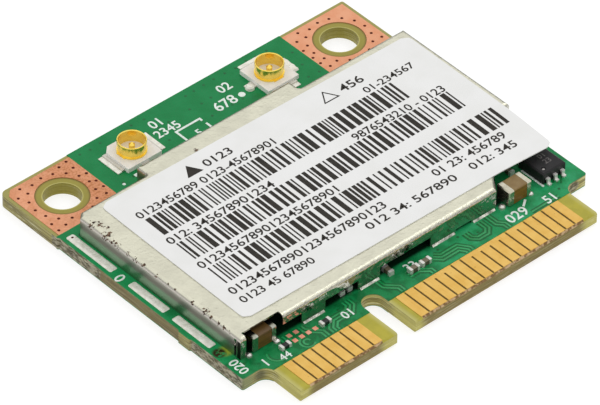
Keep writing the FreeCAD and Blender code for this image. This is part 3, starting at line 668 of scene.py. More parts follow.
@dataclass(frozen=True)
class LaminateFinish(Finish):
    """Olive glass laminate, layered at its sawn edges and frayed where tabs were broken off."""

    saw_light: Tint = Tint(194, 186, 106)
    saw_dark: Tint = Tint(104, 94, 40)
    layer: Pattern = Pattern(1.0, 3.0, stretch=(0.25, 0.25, 15.0))
    layer_height: float = 0.3
    grain_height: float = 0.3
    thread: Tint = Tint(226, 222, 176, 0.75)
    thread_lines: Pattern = Pattern(1.0, 1.0, (0.54, 0.64), (0.5, 0.5, 13.0))
    thread_runs: Pattern = Pattern(1.5, 3.0, (0.35, 0.6))
    brown: Tint = Tint(86, 70, 34)
    browned: Point = (-4.0, 3.4)
    brown_edge: float = 0.4
    brown_shares: Point = (0.35, 0.4)
    left_wall: Point = (-14.7, -14.8)
    fray_edge: float = 0.25
    fray_share: float = 0.85
    fray_height: Relief = Relief(4.0, 4.0, 5.0, (1.0, 2.0, 5.0))
    fibre_light: Tint = Tint(172, 166, 142)
    fibre_dark: Tint = Tint(66, 60, 34)
    strands: Pattern = Pattern(2.0, 4.0, (0.4, 0.62), (1.0, 0.9, 2.6))
    chipped: Spot = Spot((13.85, -10.0, 0.5), 0.6, 0.35)
    bore: Tint = Tint(140, 130, 30, 0.75)
    bore_fade: Point = (0.4, 0.2)
    ring: Tint = Tint(146, 136, 62, 0.8)
    ring_fade: float = 0.1
    # Painted shadow: a darker band at the outer edge of each bare ring, where the copper steps up.
    ring_edge_shadow: Tint = Tint(104, 76, 36, 0.7)
    edge_fades: Point = (0.7, 0.3)
    ring_lip: Tint = Tint(196, 190, 116, 0.8)
    lip_fade: float = 0.3
    margin: Tint = Tint(150, 146, 92, 0.75)
    margin_ends: Point = (14.35, 14.65)
    margin_back: Point = (12.95, 13.15)
    # Painted shade between the contacts, standing in for the shadow of their edges.
    gap: Tint = Tint(94, 74, 20)
    contact_rows: tuple[Point, ...] = ((-12.05, -5.95), (-2.45, 11.65))
    contact_span: Point = (-13.2, -10.95)
    contact_edge: float = 0.04
    tip_light: Tint = Tint(196, 166, 126, 0.8)
    tip_dark: Tint = Tint(126, 94, 58)
    tip_speckle: Pattern = Pattern(4.0, 3.0, (0.42, 0.58))
    tip_rags: Pattern = Pattern(4.0, 3.0, (0.48, 0.6))
    tip_reach: Point = (-13.22, -13.27)
    tip_levels: Point = (0.8, 0.92)
    haze: Tint = Tint(206, 202, 150, 0.42)
    haze_reach: float = 0.42
    haze_root: Point = (-10.5, -10.8)
    tongue_half: float = 12.85
    key_middle: float = -3.9
    key_half: float = 0.8
    clear: Tint = Tint(190, 182, 92, 0.65)
    clear_root: Point = (-11.0, -11.6)
    front: Tint = Tint(106, 86, 22, 0.75)
    front_wall: Point = (-13.2, -13.35)
    front_inset: float = 0.5
    front_edge: float = 0.9
    shoulder: Tint = Tint(112, 128, 92, 0.6)
    shoulder_spot: Spot = Spot((-14.7, -10.15, 0.6), 1.1, 0.4)
    # Painted shade in the concave corner of the left shoulder.
    corner: Tint = Tint(62, 66, 48, 0.75)
    concave_shade_spot: Spot = Spot((-13.5, -10.25, 0.5), 0.7, 0.15)

    def fray(self, shader: Shader) -> Signal:
        """Where fibres stand out of the left wall, and a chipped spot at the right shoulder."""
        left = shader.spans("Y", FRAYED_SPANS, self.fray_edge) * shader.along("X").step(*self.left_wall)
        return left | self.chipped.on(shader)

    def rows(self, shader: Shader) -> Signal:
        """Along which stretches of the tongue the contacts stand."""
        return shader.spans("X", self.contact_rows, self.contact_edge)

    def from_hole(self, shader: Shader) -> Signal:
        """Square of the distance from the middle of the nearer screw hole.

        Args:
            shader: The material's nodes.

        Returns:
            The square, in square millimetres.
        """
        across = abs(shader.along("X")) - SCREW_HOLE[0]
        deep = shader.along("Y") - SCREW_HOLE[1]
        return across * across + deep * deep

    def faces(self, shader: Shader) -> Signal:
        """Olive faces, with painted shade between the contacts, hazy at the tongue's edges, darker round the
        holes, and a painted shadow where each bare ring meets the copper.

        Args:
            shader: The material's nodes.

        Returns:
            The colour.
        """
        x, y, apart = shader.along("X"), shader.along("Y"), self.from_hole(shader)
        rim, bore = BARE_RADIUS ** 2, BORE_RADIUS ** 2
        outer = abs(abs(x) - self.tongue_half).step(self.haze_reach, 0.0)
        keyed = abs(abs(x - self.key_middle) - self.key_half).step(self.haze_reach, 0.0)
        inner_edge = apart.step(rim - self.edge_fades[0], rim)
        outer_edge = apart.step(rim + self.edge_fades[1], rim + self.ring_fade)
        return shader.coats(
            self.patchy(shader),
            # Painted shade between the contacts.
            (self.rows(shader) * y.between(*self.contact_span, self.contact_edge), self.gap),
            (abs(x).step(*self.margin_ends) | y.step(*self.margin_back), self.margin),
            ((outer | keyed) * y.step(*self.haze_root), self.haze),
            (self.rows(shader) * y.step(*self.tip_reach),
             shader.blend(self.tip_speckle.on(shader), self.tip_dark, self.tip_light)),
            (apart.step(rim + self.ring_fade, rim), self.ring),
            (apart.step(bore + self.lip_fade, bore), self.ring_lip),
            # Painted shadow at the copper's step.
            (inner_edge * outer_edge, self.ring_edge_shadow),
        )

    def walls(self, shader: Shader) -> Signal:
        """Banded walls with clear, brown, frayed and drilled stretches, and painted shade in the concave
        corner of the left shoulder.

        Args:
            shader: The material's nodes.

        Returns:
            The colour.
        """
        x, y, z = (shader.along(axis) for axis in "XYZ")
        covered = [(low + self.front_inset, high - self.front_inset) for low, high in self.contact_rows]
        under = shader.spans("X", covered, self.front_edge)
        least, more = self.brown_shares
        brown = (y.between(*self.browned, self.brown_edge) * more + least) * x.step(*self.left_wall)
        tips = y.step(*self.front_wall) * z.step(*self.tip_levels) * self.rows(shader)
        bore = BORE_RADIUS ** 2
        return shader.coats(
            shader.blend(self.layer.on(shader), self.saw_dark, self.saw_light),
            (self.thread_lines.on(shader) * self.thread_runs.on(shader), self.thread),
            (y.step(*self.clear_root) * (1 - under), self.clear),
            (brown, self.brown),
            (y.step(*self.front_wall) * under, self.front),
            (self.shoulder_spot.on(shader), self.shoulder),
            # Painted shade in the shoulder's concave corner.
            (self.concave_shade_spot.on(shader), self.corner),
            (tips * self.tip_rags.on(shader), self.tip_light),
            (self.fray(shader) * self.fray_share,
             shader.blend(self.strands.on(shader), self.fibre_dark, self.fibre_light)),
            (self.from_hole(shader).step(*(bore + fade for fade in self.bore_fade)), self.bore),
        )

    def colour(self, shader: Shader) -> Signal:
        """Faces and walls."""
        return shader.blend(shader.facing_up(), self.walls(shader), self.faces(shader))

    def height(self, shader: Shader) -> Signal:
        """Bands on the walls and coarse fibres where it is frayed."""
        fine = shader.noise(self.grain, FINE) * self.grain_height + self.layer.on(shader) * self.layer_height
        return fine + self.fray(shader) * self.fray_height.on(shader)


@dataclass(frozen=True)
class MaskFinish(Finish):
    """Green lacquer over copper, with painted shade and a painted sheen along the front, painted shade under
    the shield, and a scorched spot at one corner.
    """

    # Darker green: used for random deep patches, for a darker back, and for painted shade along the front.
    shade: Tint = Tint(10, 94, 46)
    deep: Pattern = Pattern(0.35, 2.0, (0.5, 0.75), share=0.6)
    back: Point = (6.0, 8.0)
    back_share: float = 0.35
    # Painted shade along the front strip: darker in patches, and more so on its left, less lit half.
    front: Point = (-8.3, -8.6)
    lit_from: Point = (-4.0, 6.0)
    dim_share: float = 0.3
    dim_patches: Pattern = Pattern(1.3, 3.0, (0.45, 0.65), share=0.5)
    # Painted sheen: lighter patches on the front strip's right half stand in for light reflected by the
    # lacquer.
    shine: Tint = Tint(56, 172, 118)
    shine_share: float = 0.15
    shine_patches: Pattern = Pattern(0.9, 3.0, (0.42, 0.66), share=0.4)
    # Painted shade: the lacquer under the shield's plate is painted near black.
    covered: Tint = Tint(8, 38, 22)
    cover_low: Point = (-13.7, -8.55)
    cover_high: Point = (8.8, 6.8)
    cover_edge: float = 0.25
    upper_side: Point = (0.5, 0.6)
    under_side: Point = (0.5, 0.4)
    glow: Tint = Tint(176, 176, 40, 0.7)
    glow_spot: Spot = Spot((-13.98, -7.55, 1.03), 0.66, 0.2)
    glow_rags: Pattern = Pattern(3.5, 3.0, (0.3, 0.5))
    scorch: Tint = Tint(48, 34, 12)
    scorch_spot: Spot = Spot((-14.42, -7.42, 1.03), 0.55, 0.3)
    scorch_rags: Pattern = Pattern(3.5, 3.0, (0.34, 0.46))
    via: Tint = Tint(10, 84, 42)
    via_spread: float = 0.62
    via_radius: float = 0.1
    via_fade: float = 1.4
    via_height: float = 2.0
    level: Place = (1.0, 1.0, 0.0)

    def vias(self, shader: Shader) -> Signal:
        """Lacquered vias where they come out on the underside.

        Args:
            shader: The material's nodes.

        Returns:
            The mask.
        """
        cells = {"Vector": shader.stretched(self.level), "Scale": self.via_spread}
        away = shader.node("TexVoronoi", inputs=cells, output="Distance")
        reach = self.via_radius * self.via_spread
        return away.step(reach * self.via_fade, reach) * shader.along("Z").step(*self.under_side)

    def colour(self, shader: Shader) -> Signal:
        """Patchy green, darker towards the back, with painted shade along the front that deepens to the left,
        a painted sheen on the front's right half, painted shade under the shield, and scorched at one corner.

        Args:
            shader: The material's nodes.

        Returns:
            The colour.
        """
        x, y, z = (shader.along(axis) for axis in "XYZ")
        front, lit = y.step(*self.front), x.step(*self.lit_from)
        # Painted shade: the front strip is darker in patches and towards its left.
        dim = (1 - lit) * self.dim_share + self.dim_patches.on(shader)
        # Painted sheen on the front's right half.
        bright = self.shine_share + self.shine_patches.on(shader)
        return shader.coats(
            self.patchy(shader),
            (self.deep.on(shader) | (y.step(*self.back) * self.back_share) | (front * dim), self.shade),
            (front * lit * bright, self.shine),
            # Painted shade under the shield.
            (shader.within(self.cover_low, self.cover_high, self.cover_edge) * z.step(*self.upper_side),
             self.covered),
            (self.vias(shader), self.via),
            (self.glow_spot.on(shader) * self.glow_rags.on(shader), self.glow),
            (self.scorch_spot.on(shader) * self.scorch_rags.on(shader), self.scorch),
        )

    def height(self, shader: Shader) -> Signal:
        """Slightly rippled lacquer that stands over the vias."""
        return shader.noise(self.grain, FINE) + self.vias(shader) * self.via_height


@dataclass(frozen=True)
class ContactFinish(Finish):
    """Gold plating, grained by wear along the way it slides into a connector."""

    rubbed: Tint = Tint(214, 160, 68, 0.35)
    streaks: Pattern = Pattern(2.0, 3.0, (0.52, 0.75), (5.0, 0.35, 1.0))
    pit: Tint = Tint(150, 104, 50, 0.6)
    pits: Pattern = Pattern(5.0, 2.0, (0.7, 0.76))
    grain_height: float = 0.6
    drawn: Relief = Relief(6.0, 0.4, 2.0, (4.0, 0.3, 1.0))

    def colour(self, shader: Shader) -> Signal:
        """Even gold with rubbed streaks and a few pits."""
        layers = ((self.streaks.on(shader), self.rubbed), (self.pits.on(shader), self.pit))
        return shader.coats(self.patchy(shader), *layers)

    def height(self, shader: Shader) -> Signal:
        """Fine grain and drawn streaks."""
        return shader.noise(self.grain, FINE) * self.grain_height + self.drawn.on(shader)


@dataclass(frozen=True)
class CopperFinish(Finish):
    """Bare pink copper, browner where it has tarnished."""

    tarnish: Tint = Tint(186, 118, 70)
    tarnished: Point = (-8.0, -10.0)
    clouds: Pattern = Pattern(0.9, 4.0, (0.38, 0.62), share=0.25)
    specks: Pattern = Pattern(6.0, 3.0, (0.46, 0.6))
    speck_share: float = 0.2
    shield_side: Point = (-13.6, -10.8)
    side_share: float = 0.25
    side_specks: float = 0.3

    def colour(self, shader: Shader) -> Signal:
        """Pink copper with more tarnish on the left pad, most of it towards the shield.

        Args:
            shader: The material's nodes.

        Returns:
            The colour.
        """
        x, specks = shader.along("X"), self.specks.on(shader)
        beside = x.step(*self.shield_side) * (specks * self.side_specks + self.side_share)
        worn = self.clouds.on(shader) + specks * self.speck_share + beside
        return shader.blend(worn * x.step(*self.tarnished), self.patchy(shader), self.tarnish)


@dataclass(frozen=True)
class SheetFinish(Finish):
    """Tinned sheet: satin on its plate, mirror-like on its front walls, with rust along one bend, painted
    reflections on its end walls and far bends, and painted shade inside.
    """

    wall: Tint = Tint(196, 194, 184)
    # Painted reflections on the end walls: the green board near their feet, dark grey in their middle, pale
    # near the top.
    left_board_reflection: Tint = Tint(140, 172, 146)
    left_dark_reflection: Tint = Tint(136, 130, 124)
    left_pale_reflection: Tint = Tint(202, 196, 187)
    foot_levels: Point = (1.95, 1.6)
    crown_levels: Point = (2.05, 2.6)
    end_walls: Point = (0.75, 0.98)
    aside_ease: Point = (0.3, 0.8)
    bend_range: Point = (0.3, 0.95)
    bend_edge: float = 0.2
    # Painted reflection: bends that face right or back are painted darker, standing in for the dark horizon
    # they mirror.
    far_bend_dark_reflection: Tint = Tint(104, 106, 90, 0.7)
    far_turn: Point = (0.15, 0.55)
    far_rise: Point = (0.25, 0.55)
    # Painted shade: near black inside the can, and on the corner between the left wall and the front leg.
    inside: Tint = Tint(34, 32, 28)
    inner_low: Place = (-13.72, -8.7, 0.0)
    inner_high: Place = (8.9, 6.9, 2.57)
    inner_edge: float = 0.02
    slit_x: Point = (-13.75, -13.8)
    slit_y: Point = (-8.79, -8.5)
    slit_z: Point = (2.45, 2.35)
    slit_edge: float = 0.03
    rust_dark: Tint = Tint(48, 32, 22)
    rust_light: Tint = Tint(112, 84, 60)
    rust_tones: Pattern = Pattern(9.0, ease=(0.4, 0.6))
    plate: float = 2.65
    rust_at: tuple[Place, ...] = (
        (-13.66, 5.73, 0.44), (-13.84, 5.73, 0.46), (-13.33, 5.32, 0.4), (-13.24, 4.82, 0.3),
        (-13.52, 4.21, 0.34), (-13.88, 4.33, 0.5), (-13.84, 3.55, 0.44), (-13.84, 3.1, 0.42),
        (-13.84, 2.03, 0.28), (-13.84, 1.33, 0.34), (-13.84, 0.58, 0.28), (-13.84, -0.66, 0.24),
        (-13.84, -1.73, 0.2), (-13.84, -2.5, 0.22), (-13.8, -4.09, 0.26), (-13.7, -5.3, 0.4),
        (-13.84, -5.85, 0.3), (-13.84, -6.63, 0.3), (-13.84, -7.1, 0.3), (-13.84, -7.66, 0.26),
    )
    rust_core: float = 0.05
    rust_grain: float = 6.5
    rust_lift: float = 0.14
    rust_ease: Point = (0.58, 0.63)
    cluster_ease: Point = (0.05, 0.3)
    nicks: tuple[Spot, ...] = (Spot((-3.9, 6.76, 2.7), 0.24, 0.1), Spot((11.75, 7.0, 2.6), 0.24, 0.1))
    nick_rags: Pattern = Pattern(5.0, ease=(0.38, 0.5))
    level_ease: Point = (0.9, 0.99)
    front_roughness: float = 0.07
    stain_roughness: float = 0.33
    stains: Pattern = Pattern(1.7, 4.0, (0.5, 0.66), (1.0, 1.0, 1.5))
    stain_walls: Point = (0.4, 0.1)
    left_roughness: float = 0.36
    bend_roughness: float = 0.2
    rust_roughness: float = 0.4
    rust_metal: float = 0.9
    rolling: float = 0.35
    rolled: Place = (1.0, 0.3, 1.0)
    swell: Relief = Relief(1.2, 1.4)
    waves: tuple[Relief, ...] = (Relief(1.4, 12.0), Relief(5.0, 1.5))
    wave_walls: Point = (0.99, 0.9)
    side_calm: float = 0.9
    dents: tuple[Relief, ...] = (Relief(3.5, 8.0, 3.0), Relief(8.0, 6.0))
    rust_depth: float = 1.2

    @cache
    def rust(self, shader: Shader) -> Signal:
        """Ragged specks in clusters along the left bend, and two dark nicks at the back.

        Args:
            shader: The material's nodes.

        Returns:
            The mask.
        """
        spots = [Spot((x, y, self.plate), reach, self.rust_core) for x, y, reach in self.rust_at]
        clusters = reduce(or_, [spot.on(shader) for spot in spots])
        specks = (shader.noise(self.rust_grain) + clusters * self.rust_lift).step(*self.rust_ease)
        nicks = reduce(or_, [nick.on(shader) for nick in self.nicks])
        return (specks * clusters.step(*self.cluster_ease)) | (nicks * self.nick_rags.on(shader))

    def flatness(self, shader: Shader) -> Signal:
        """0 on walls, 1 on level faces, whichever way they face."""
        return abs(shader.normal("Z"))

    def aside(self, shader: Shader) -> Signal:
        """1 on walls at the left and right ends."""
        return abs(shader.normal("X")).step(*self.aside_ease)

    def bend(self, shader: Shader) -> Signal:
        """1 where the plate turns down into its front and back walls."""
        return self.flatness(shader).between(*self.bend_range, self.bend_edge) * (1 - self.aside(shader))

    def slit(self, shader: Shader) -> Signal:
        """Painted shade on the corner between the left wall and the front leg: the leg's left face is painted
        dark.
        """
        x, y, z = (shader.along(axis) for axis in "XYZ")
        return x.step(*self.slit_x) * y.between(*self.slit_y, self.slit_edge) * z.step(*self.slit_z)

    def colour(self, shader: Shader) -> Signal:
        """Beige plate, greyer walls with painted reflections on the end walls and the far bends, painted
        shade inside and in the corner by the front leg, and rust.

        Args:
            shader: The material's nodes.

        Returns:
            The colour.
        """
        x, y, z = (shader.normal(axis) for axis in "XYZ")
        height = shader.along("Z")
        # Painted reflections on the end walls, by height.
        left = shader.blend(height.step(*self.crown_levels), self.left_dark_reflection, self.left_pale_reflection)
        left = shader.blend(height.step(*self.foot_levels), left, self.left_board_reflection)
        # Painted reflection of the dark horizon on the far bends.
        far = (x.step(*self.far_turn) | y.step(*self.far_turn)) * z.step(*self.far_rise)
        # Painted shade inside the can.
        within = shader.within(self.inner_low, self.inner_high, self.inner_edge)
        stain = shader.blend(self.rust_tones.on(shader), self.rust_dark, self.rust_light)
        return shader.coats(
            self.wall, (abs(x).step(*self.end_walls), left), (shader.facing_up(), self.patchy(shader)),
            (far, self.far_bend_dark_reflection), (within | self.slit(shader), self.inside), (self.rust(shader), stain),
        )

    def gloss(self, shader: Shader) -> Signal:
        """Satin plate, clear front walls, softer left wall, dull rust.

        Args:
            shader: The material's nodes.

        Returns:
            The roughness.
        """
        flat = self.flatness(shader)
        level = flat.step(*self.level_ease)
        stained = self.stains.on(shader) * flat.step(*self.stain_walls)
        front = self.front_roughness + self.stain_roughness * stained
        front += self.bend_roughness * self.bend(shader)
        walls = front + (self.left_roughness - front) * self.aside(shader)
        plain = level * self.roughness + (1 - level) * walls
        return plain + self.uneven(shader) * level + self.rust_roughness * self.rust(shader)

    def metal(self, shader: Shader) -> Signal:
        """Metal wherever it isn't rusted."""
        return 1 - self.rust_metal * self.rust(shader)

    def height(self, shader: Shader) -> Signal:
        """Rolling grain, slight waves that are deeper on the walls, dented bends and rust pits.

        Args:
            shader: The material's nodes.

        Returns:
            The height.
        """
        rolled = shader.noise(self.grain, FINE, self.rolled) * self.rolling + self.swell.on(shader)
        waves, dents = (reduce(add, [one.on(shader) for one in some]) for some in (self.waves, self.dents))
        walls = self.flatness(shader).step(*self.wave_walls) * (1 - self.side_calm * self.aside(shader))
        return rolled + waves * walls + self.bend(shader) * dents - self.rust(shader) * self.rust_depth


@dataclass(frozen=True)
class RingFinish(Finish):
    """Polished gold plating whose lugs are covered with solder near the board."""

    tinned: Tint = Tint(214, 210, 200)
    solder_levels: Point = (1.25, 1.2)
    solder_roughness: float = 0.3

    def dull(self, shader: Shader) -> Signal:
        """Where solder covers the gold."""
        return shader.along("Z").step(*self.solder_levels)

    def colour(self, shader: Shader) -> Signal:
        """Gold above, tinned lugs below."""
        return shader.blend(self.dull(shader), self.patchy(shader), self.tinned)

    def gloss(self, shader: Shader) -> Signal:
        """Bright gold and duller solder."""
        return self.roughness + self.dull(shader) * self.solder_roughness + self.uneven(shader)


@dataclass(frozen=True)
class CeramicFinish(Finish):
    """Fired ceramic, paler on its upper face."""

    crown: Tint = Tint(134, 110, 64)
    layers: Pattern = Pattern(1.0, 2.0, stretch=(0.4, 0.4, 14.0))
    mottle: Pattern = Pattern(2.2, 4.0, (0.35, 0.65), share=0.35)

    def colour(self, shader: Shader) -> Signal:
        """Brown sides in faint layers and a pale crown.

        Args:
            shader: The material's nodes.

        Returns:
            The colour.
        """
        sides = shader.blend(self.layers.on(shader), self.tone, self.second)
        crown = shader.blend(self.mottle.on(shader), self.crown, self.second)
        return shader.blend(shader.facing_up(), sides, crown)


LAMINATE = LaminateFinish("laminate", Tint(180, 170, 58), Tint(168, 160, 56), patches=1.2, roughness=0.42,
                          specular=0.3, relief=0.012)
FIBRE = Finish("glass_fibre", Tint(196, 192, 178), Tint(140, 136, 118), patches=5.0, roughness=0.6)
MASK = MaskFinish("solder_mask", Tint(19, 136, 74), Tint(29, 146, 84), patches=0.9, grain=7.0,
                  roughness=0.28, unevenness=0.1, specular=0.16, relief=0.004)
MASK_OVER_TRACK = Finish("solder_mask_over_track", Tint(40, 158, 92), Tint(24, 136, 72), patches=1.4,
                         grain=9.0, roughness=0.2, specular=0.45, relief=0.003)
MASK_OVER_HOLE = Finish("solder_mask_over_hole", Tint(10, 92, 46), Tint(18, 106, 56), patches=4.0,
                        grain=9.0, roughness=0.3, specular=0.25, relief=0.003)
CONTACT_GOLD = ContactFinish("contact_gold", Tint(235, 193, 106), Tint(227, 181, 90), patches=1.1,
                             grain=14.0, roughness=0.36, unevenness=0.16, metallic=0.75, relief=0.004)
RING_GOLD = RingFinish("ring_gold", Tint(255, 226, 112), Tint(250, 214, 92), patches=2.0, grain=10.0,
                       roughness=0.19, unevenness=0.08, metallic=0.85, relief=0.0007)
COPPER = CopperFinish("bare_copper", Tint(234, 168, 130), Tint(228, 155, 115), patches=1.6, grain=12.0,
                      roughness=0.46, unevenness=0.2, metallic=0.4, relief=0.004)
PAD_COPPER = Finish("pad_copper", Tint(252, 178, 150), Tint(244, 158, 128), patches=3.0, grain=12.0,
                    roughness=0.36, metallic=0.3, relief=0.006)
# Painted shade: dark brown plugs halfway down the vias stand in for the shade inside the holes.
VIA_DARK = Finish("via_barrel", Tint(104, 42, 26), Tint(66, 24, 15), patches=6.0, roughness=0.6,
                  specular=0.1)
SHEET = SheetFinish("tinned_sheet", Tint(224, 222, 202), Tint(213, 211, 192), patches=0.8, grain=16.0,
                    roughness=0.33, unevenness=0.1, metallic=1.0, relief=0.005)
SOLDER = Finish("solder", Tint(232, 230, 224), Tint(206, 203, 196), patches=3.0, grain=9.0,
                roughness=0.26, unevenness=0.2, metallic=0.85, relief=0.012)
STRIP_SOLDER = Finish("strip_solder", Tint(246, 244, 234), Tint(226, 223, 210), patches=3.0, grain=6.0,
                      roughness=0.42, unevenness=0.2, metallic=0.12, relief=0.02)
# Its darker greenish patches are a painted reflection of the green board in the solder.
FOOT_SOLDER = Finish("foot_solder", Tint(202, 201, 190), Tint(132, 138, 126), patches=2.5, grain=3.0,
                     roughness=0.22, unevenness=0.2, metallic=1.0, relief=0.12)
TINNED = Finish("tinned_end", Tint(208, 203, 184), Tint(190, 185, 166), patches=2.5, grain=8.0,
                roughness=0.2, unevenness=0.14, metallic=0.95, relief=0.003)
SHADED_TIN = Finish("shaded_end", Tint(198, 198, 186), Tint(172, 173, 160), patches=2.5, grain=8.0,
                    roughness=0.18, unevenness=0.14, metallic=1.0, relief=0.003)
LEAD = Finish("bright_lead", Tint(240, 239, 235), Tint(222, 220, 215), patches=3.0, grain=9.0,
              roughness=0.3, metallic=0.5, relief=0.004)
PAPER = Finish("label_paper", Tint(237, 237, 236), Tint(233, 233, 231), patches=0.5, grain=12.0,
               roughness=0.55, specular=0.3, relief=0.002)
INK = Finish("label_ink", Tint(40, 37, 32), Tint(50, 46, 40), patches=3.0, grain=14.0, roughness=0.5,
             specular=0.2)
SILK = Finish("silk_ink", Tint(238, 244, 239), Tint(218, 230, 221), patches=3.0, grain=12.0,
              roughness=0.5)
# Painted light: the sockets' sides are painted brighter than their upper face, to make up for the less light
# that falls on them.
PLASTIC = CeramicFinish("socket_plastic", Tint(255, 253, 249), Tint(248, 245, 240), patches=1.0,
                        grain=9.0, roughness=0.42, relief=0.004, crown=Tint(232, 227, 219))
MOULD = Finish("chip_mould", Tint(30, 28, 30), Tint(22, 21, 23), patches=2.0, grain=22.0, roughness=0.5,
               specular=0.35, relief=0.008)
CHIP_MARK = Finish("chip_mark", Tint(104, 100, 98), Tint(84, 80, 80), patches=6.0, roughness=0.7)
PIN_MARK = Finish("pin_mark", Tint(168, 164, 160), Tint(132, 128, 126), patches=6.0, roughness=0.6)
CERAMIC = CeramicFinish("capacitor_ceramic", Tint(130, 92, 26), Tint(108, 76, 18), patches=2.0,
                        grain=16.0, roughness=0.36, relief=0.005)
# Painted shade: a darker copy of the ceramic, for the capacitor in the shade of the shield's window.
SHADED_CERAMIC = CeramicFinish("shaded_ceramic", Tint(108, 78, 30), Tint(84, 62, 22), patches=2.0,
                               grain=16.0, roughness=0.36, relief=0.005, crown=Tint(92, 68, 34))
SMALL_CERAMIC = CeramicFinish("small_ceramic", Tint(92, 86, 70), Tint(74, 68, 56), patches=2.0,
                              grain=16.0, roughness=0.36, relief=0.004, crown=Tint(122, 112, 92))
RESISTOR = Finish("resistor_block", Tint(34, 34, 37), Tint(22, 22, 25), patches=3.0, roughness=0.3)
CRYSTAL_BASE = Finish("crystal_ceramic", Tint(98, 90, 84), Tint(84, 78, 72), patches=2.0, roughness=0.5)
CRYSTAL_LID = Finish("crystal_cover", Tint(216, 206, 176), Tint(202, 192, 162), patches=1.5,
                     roughness=0.25, metallic=1.0)
FERRITE = Finish("coil_ferrite", Tint(86, 86, 89), Tint(72, 72, 75), patches=2.5, roughness=0.65)


def dress(finish: Finish, *nodes: str) -> None:
    """Gives CAD nodes a finish.

    Args:
        finish: What they are made of.
        nodes: Their names.
    """
    for name in nodes:
        slots = NODES[name].data.materials
        slots.clear()
        slots.append(finish.material())
        LOG.info("%s wears %s", name, finish.name)


class Assembly:
    """Some of the card's pieces: built first, dressed after."""

    def build(self) -> None:
        """Adds nothing, unless the sub-assembly has pieces of its own."""

    def dress(self) -> None:
        """Changes nothing, unless the sub-assembly has nodes to dress."""


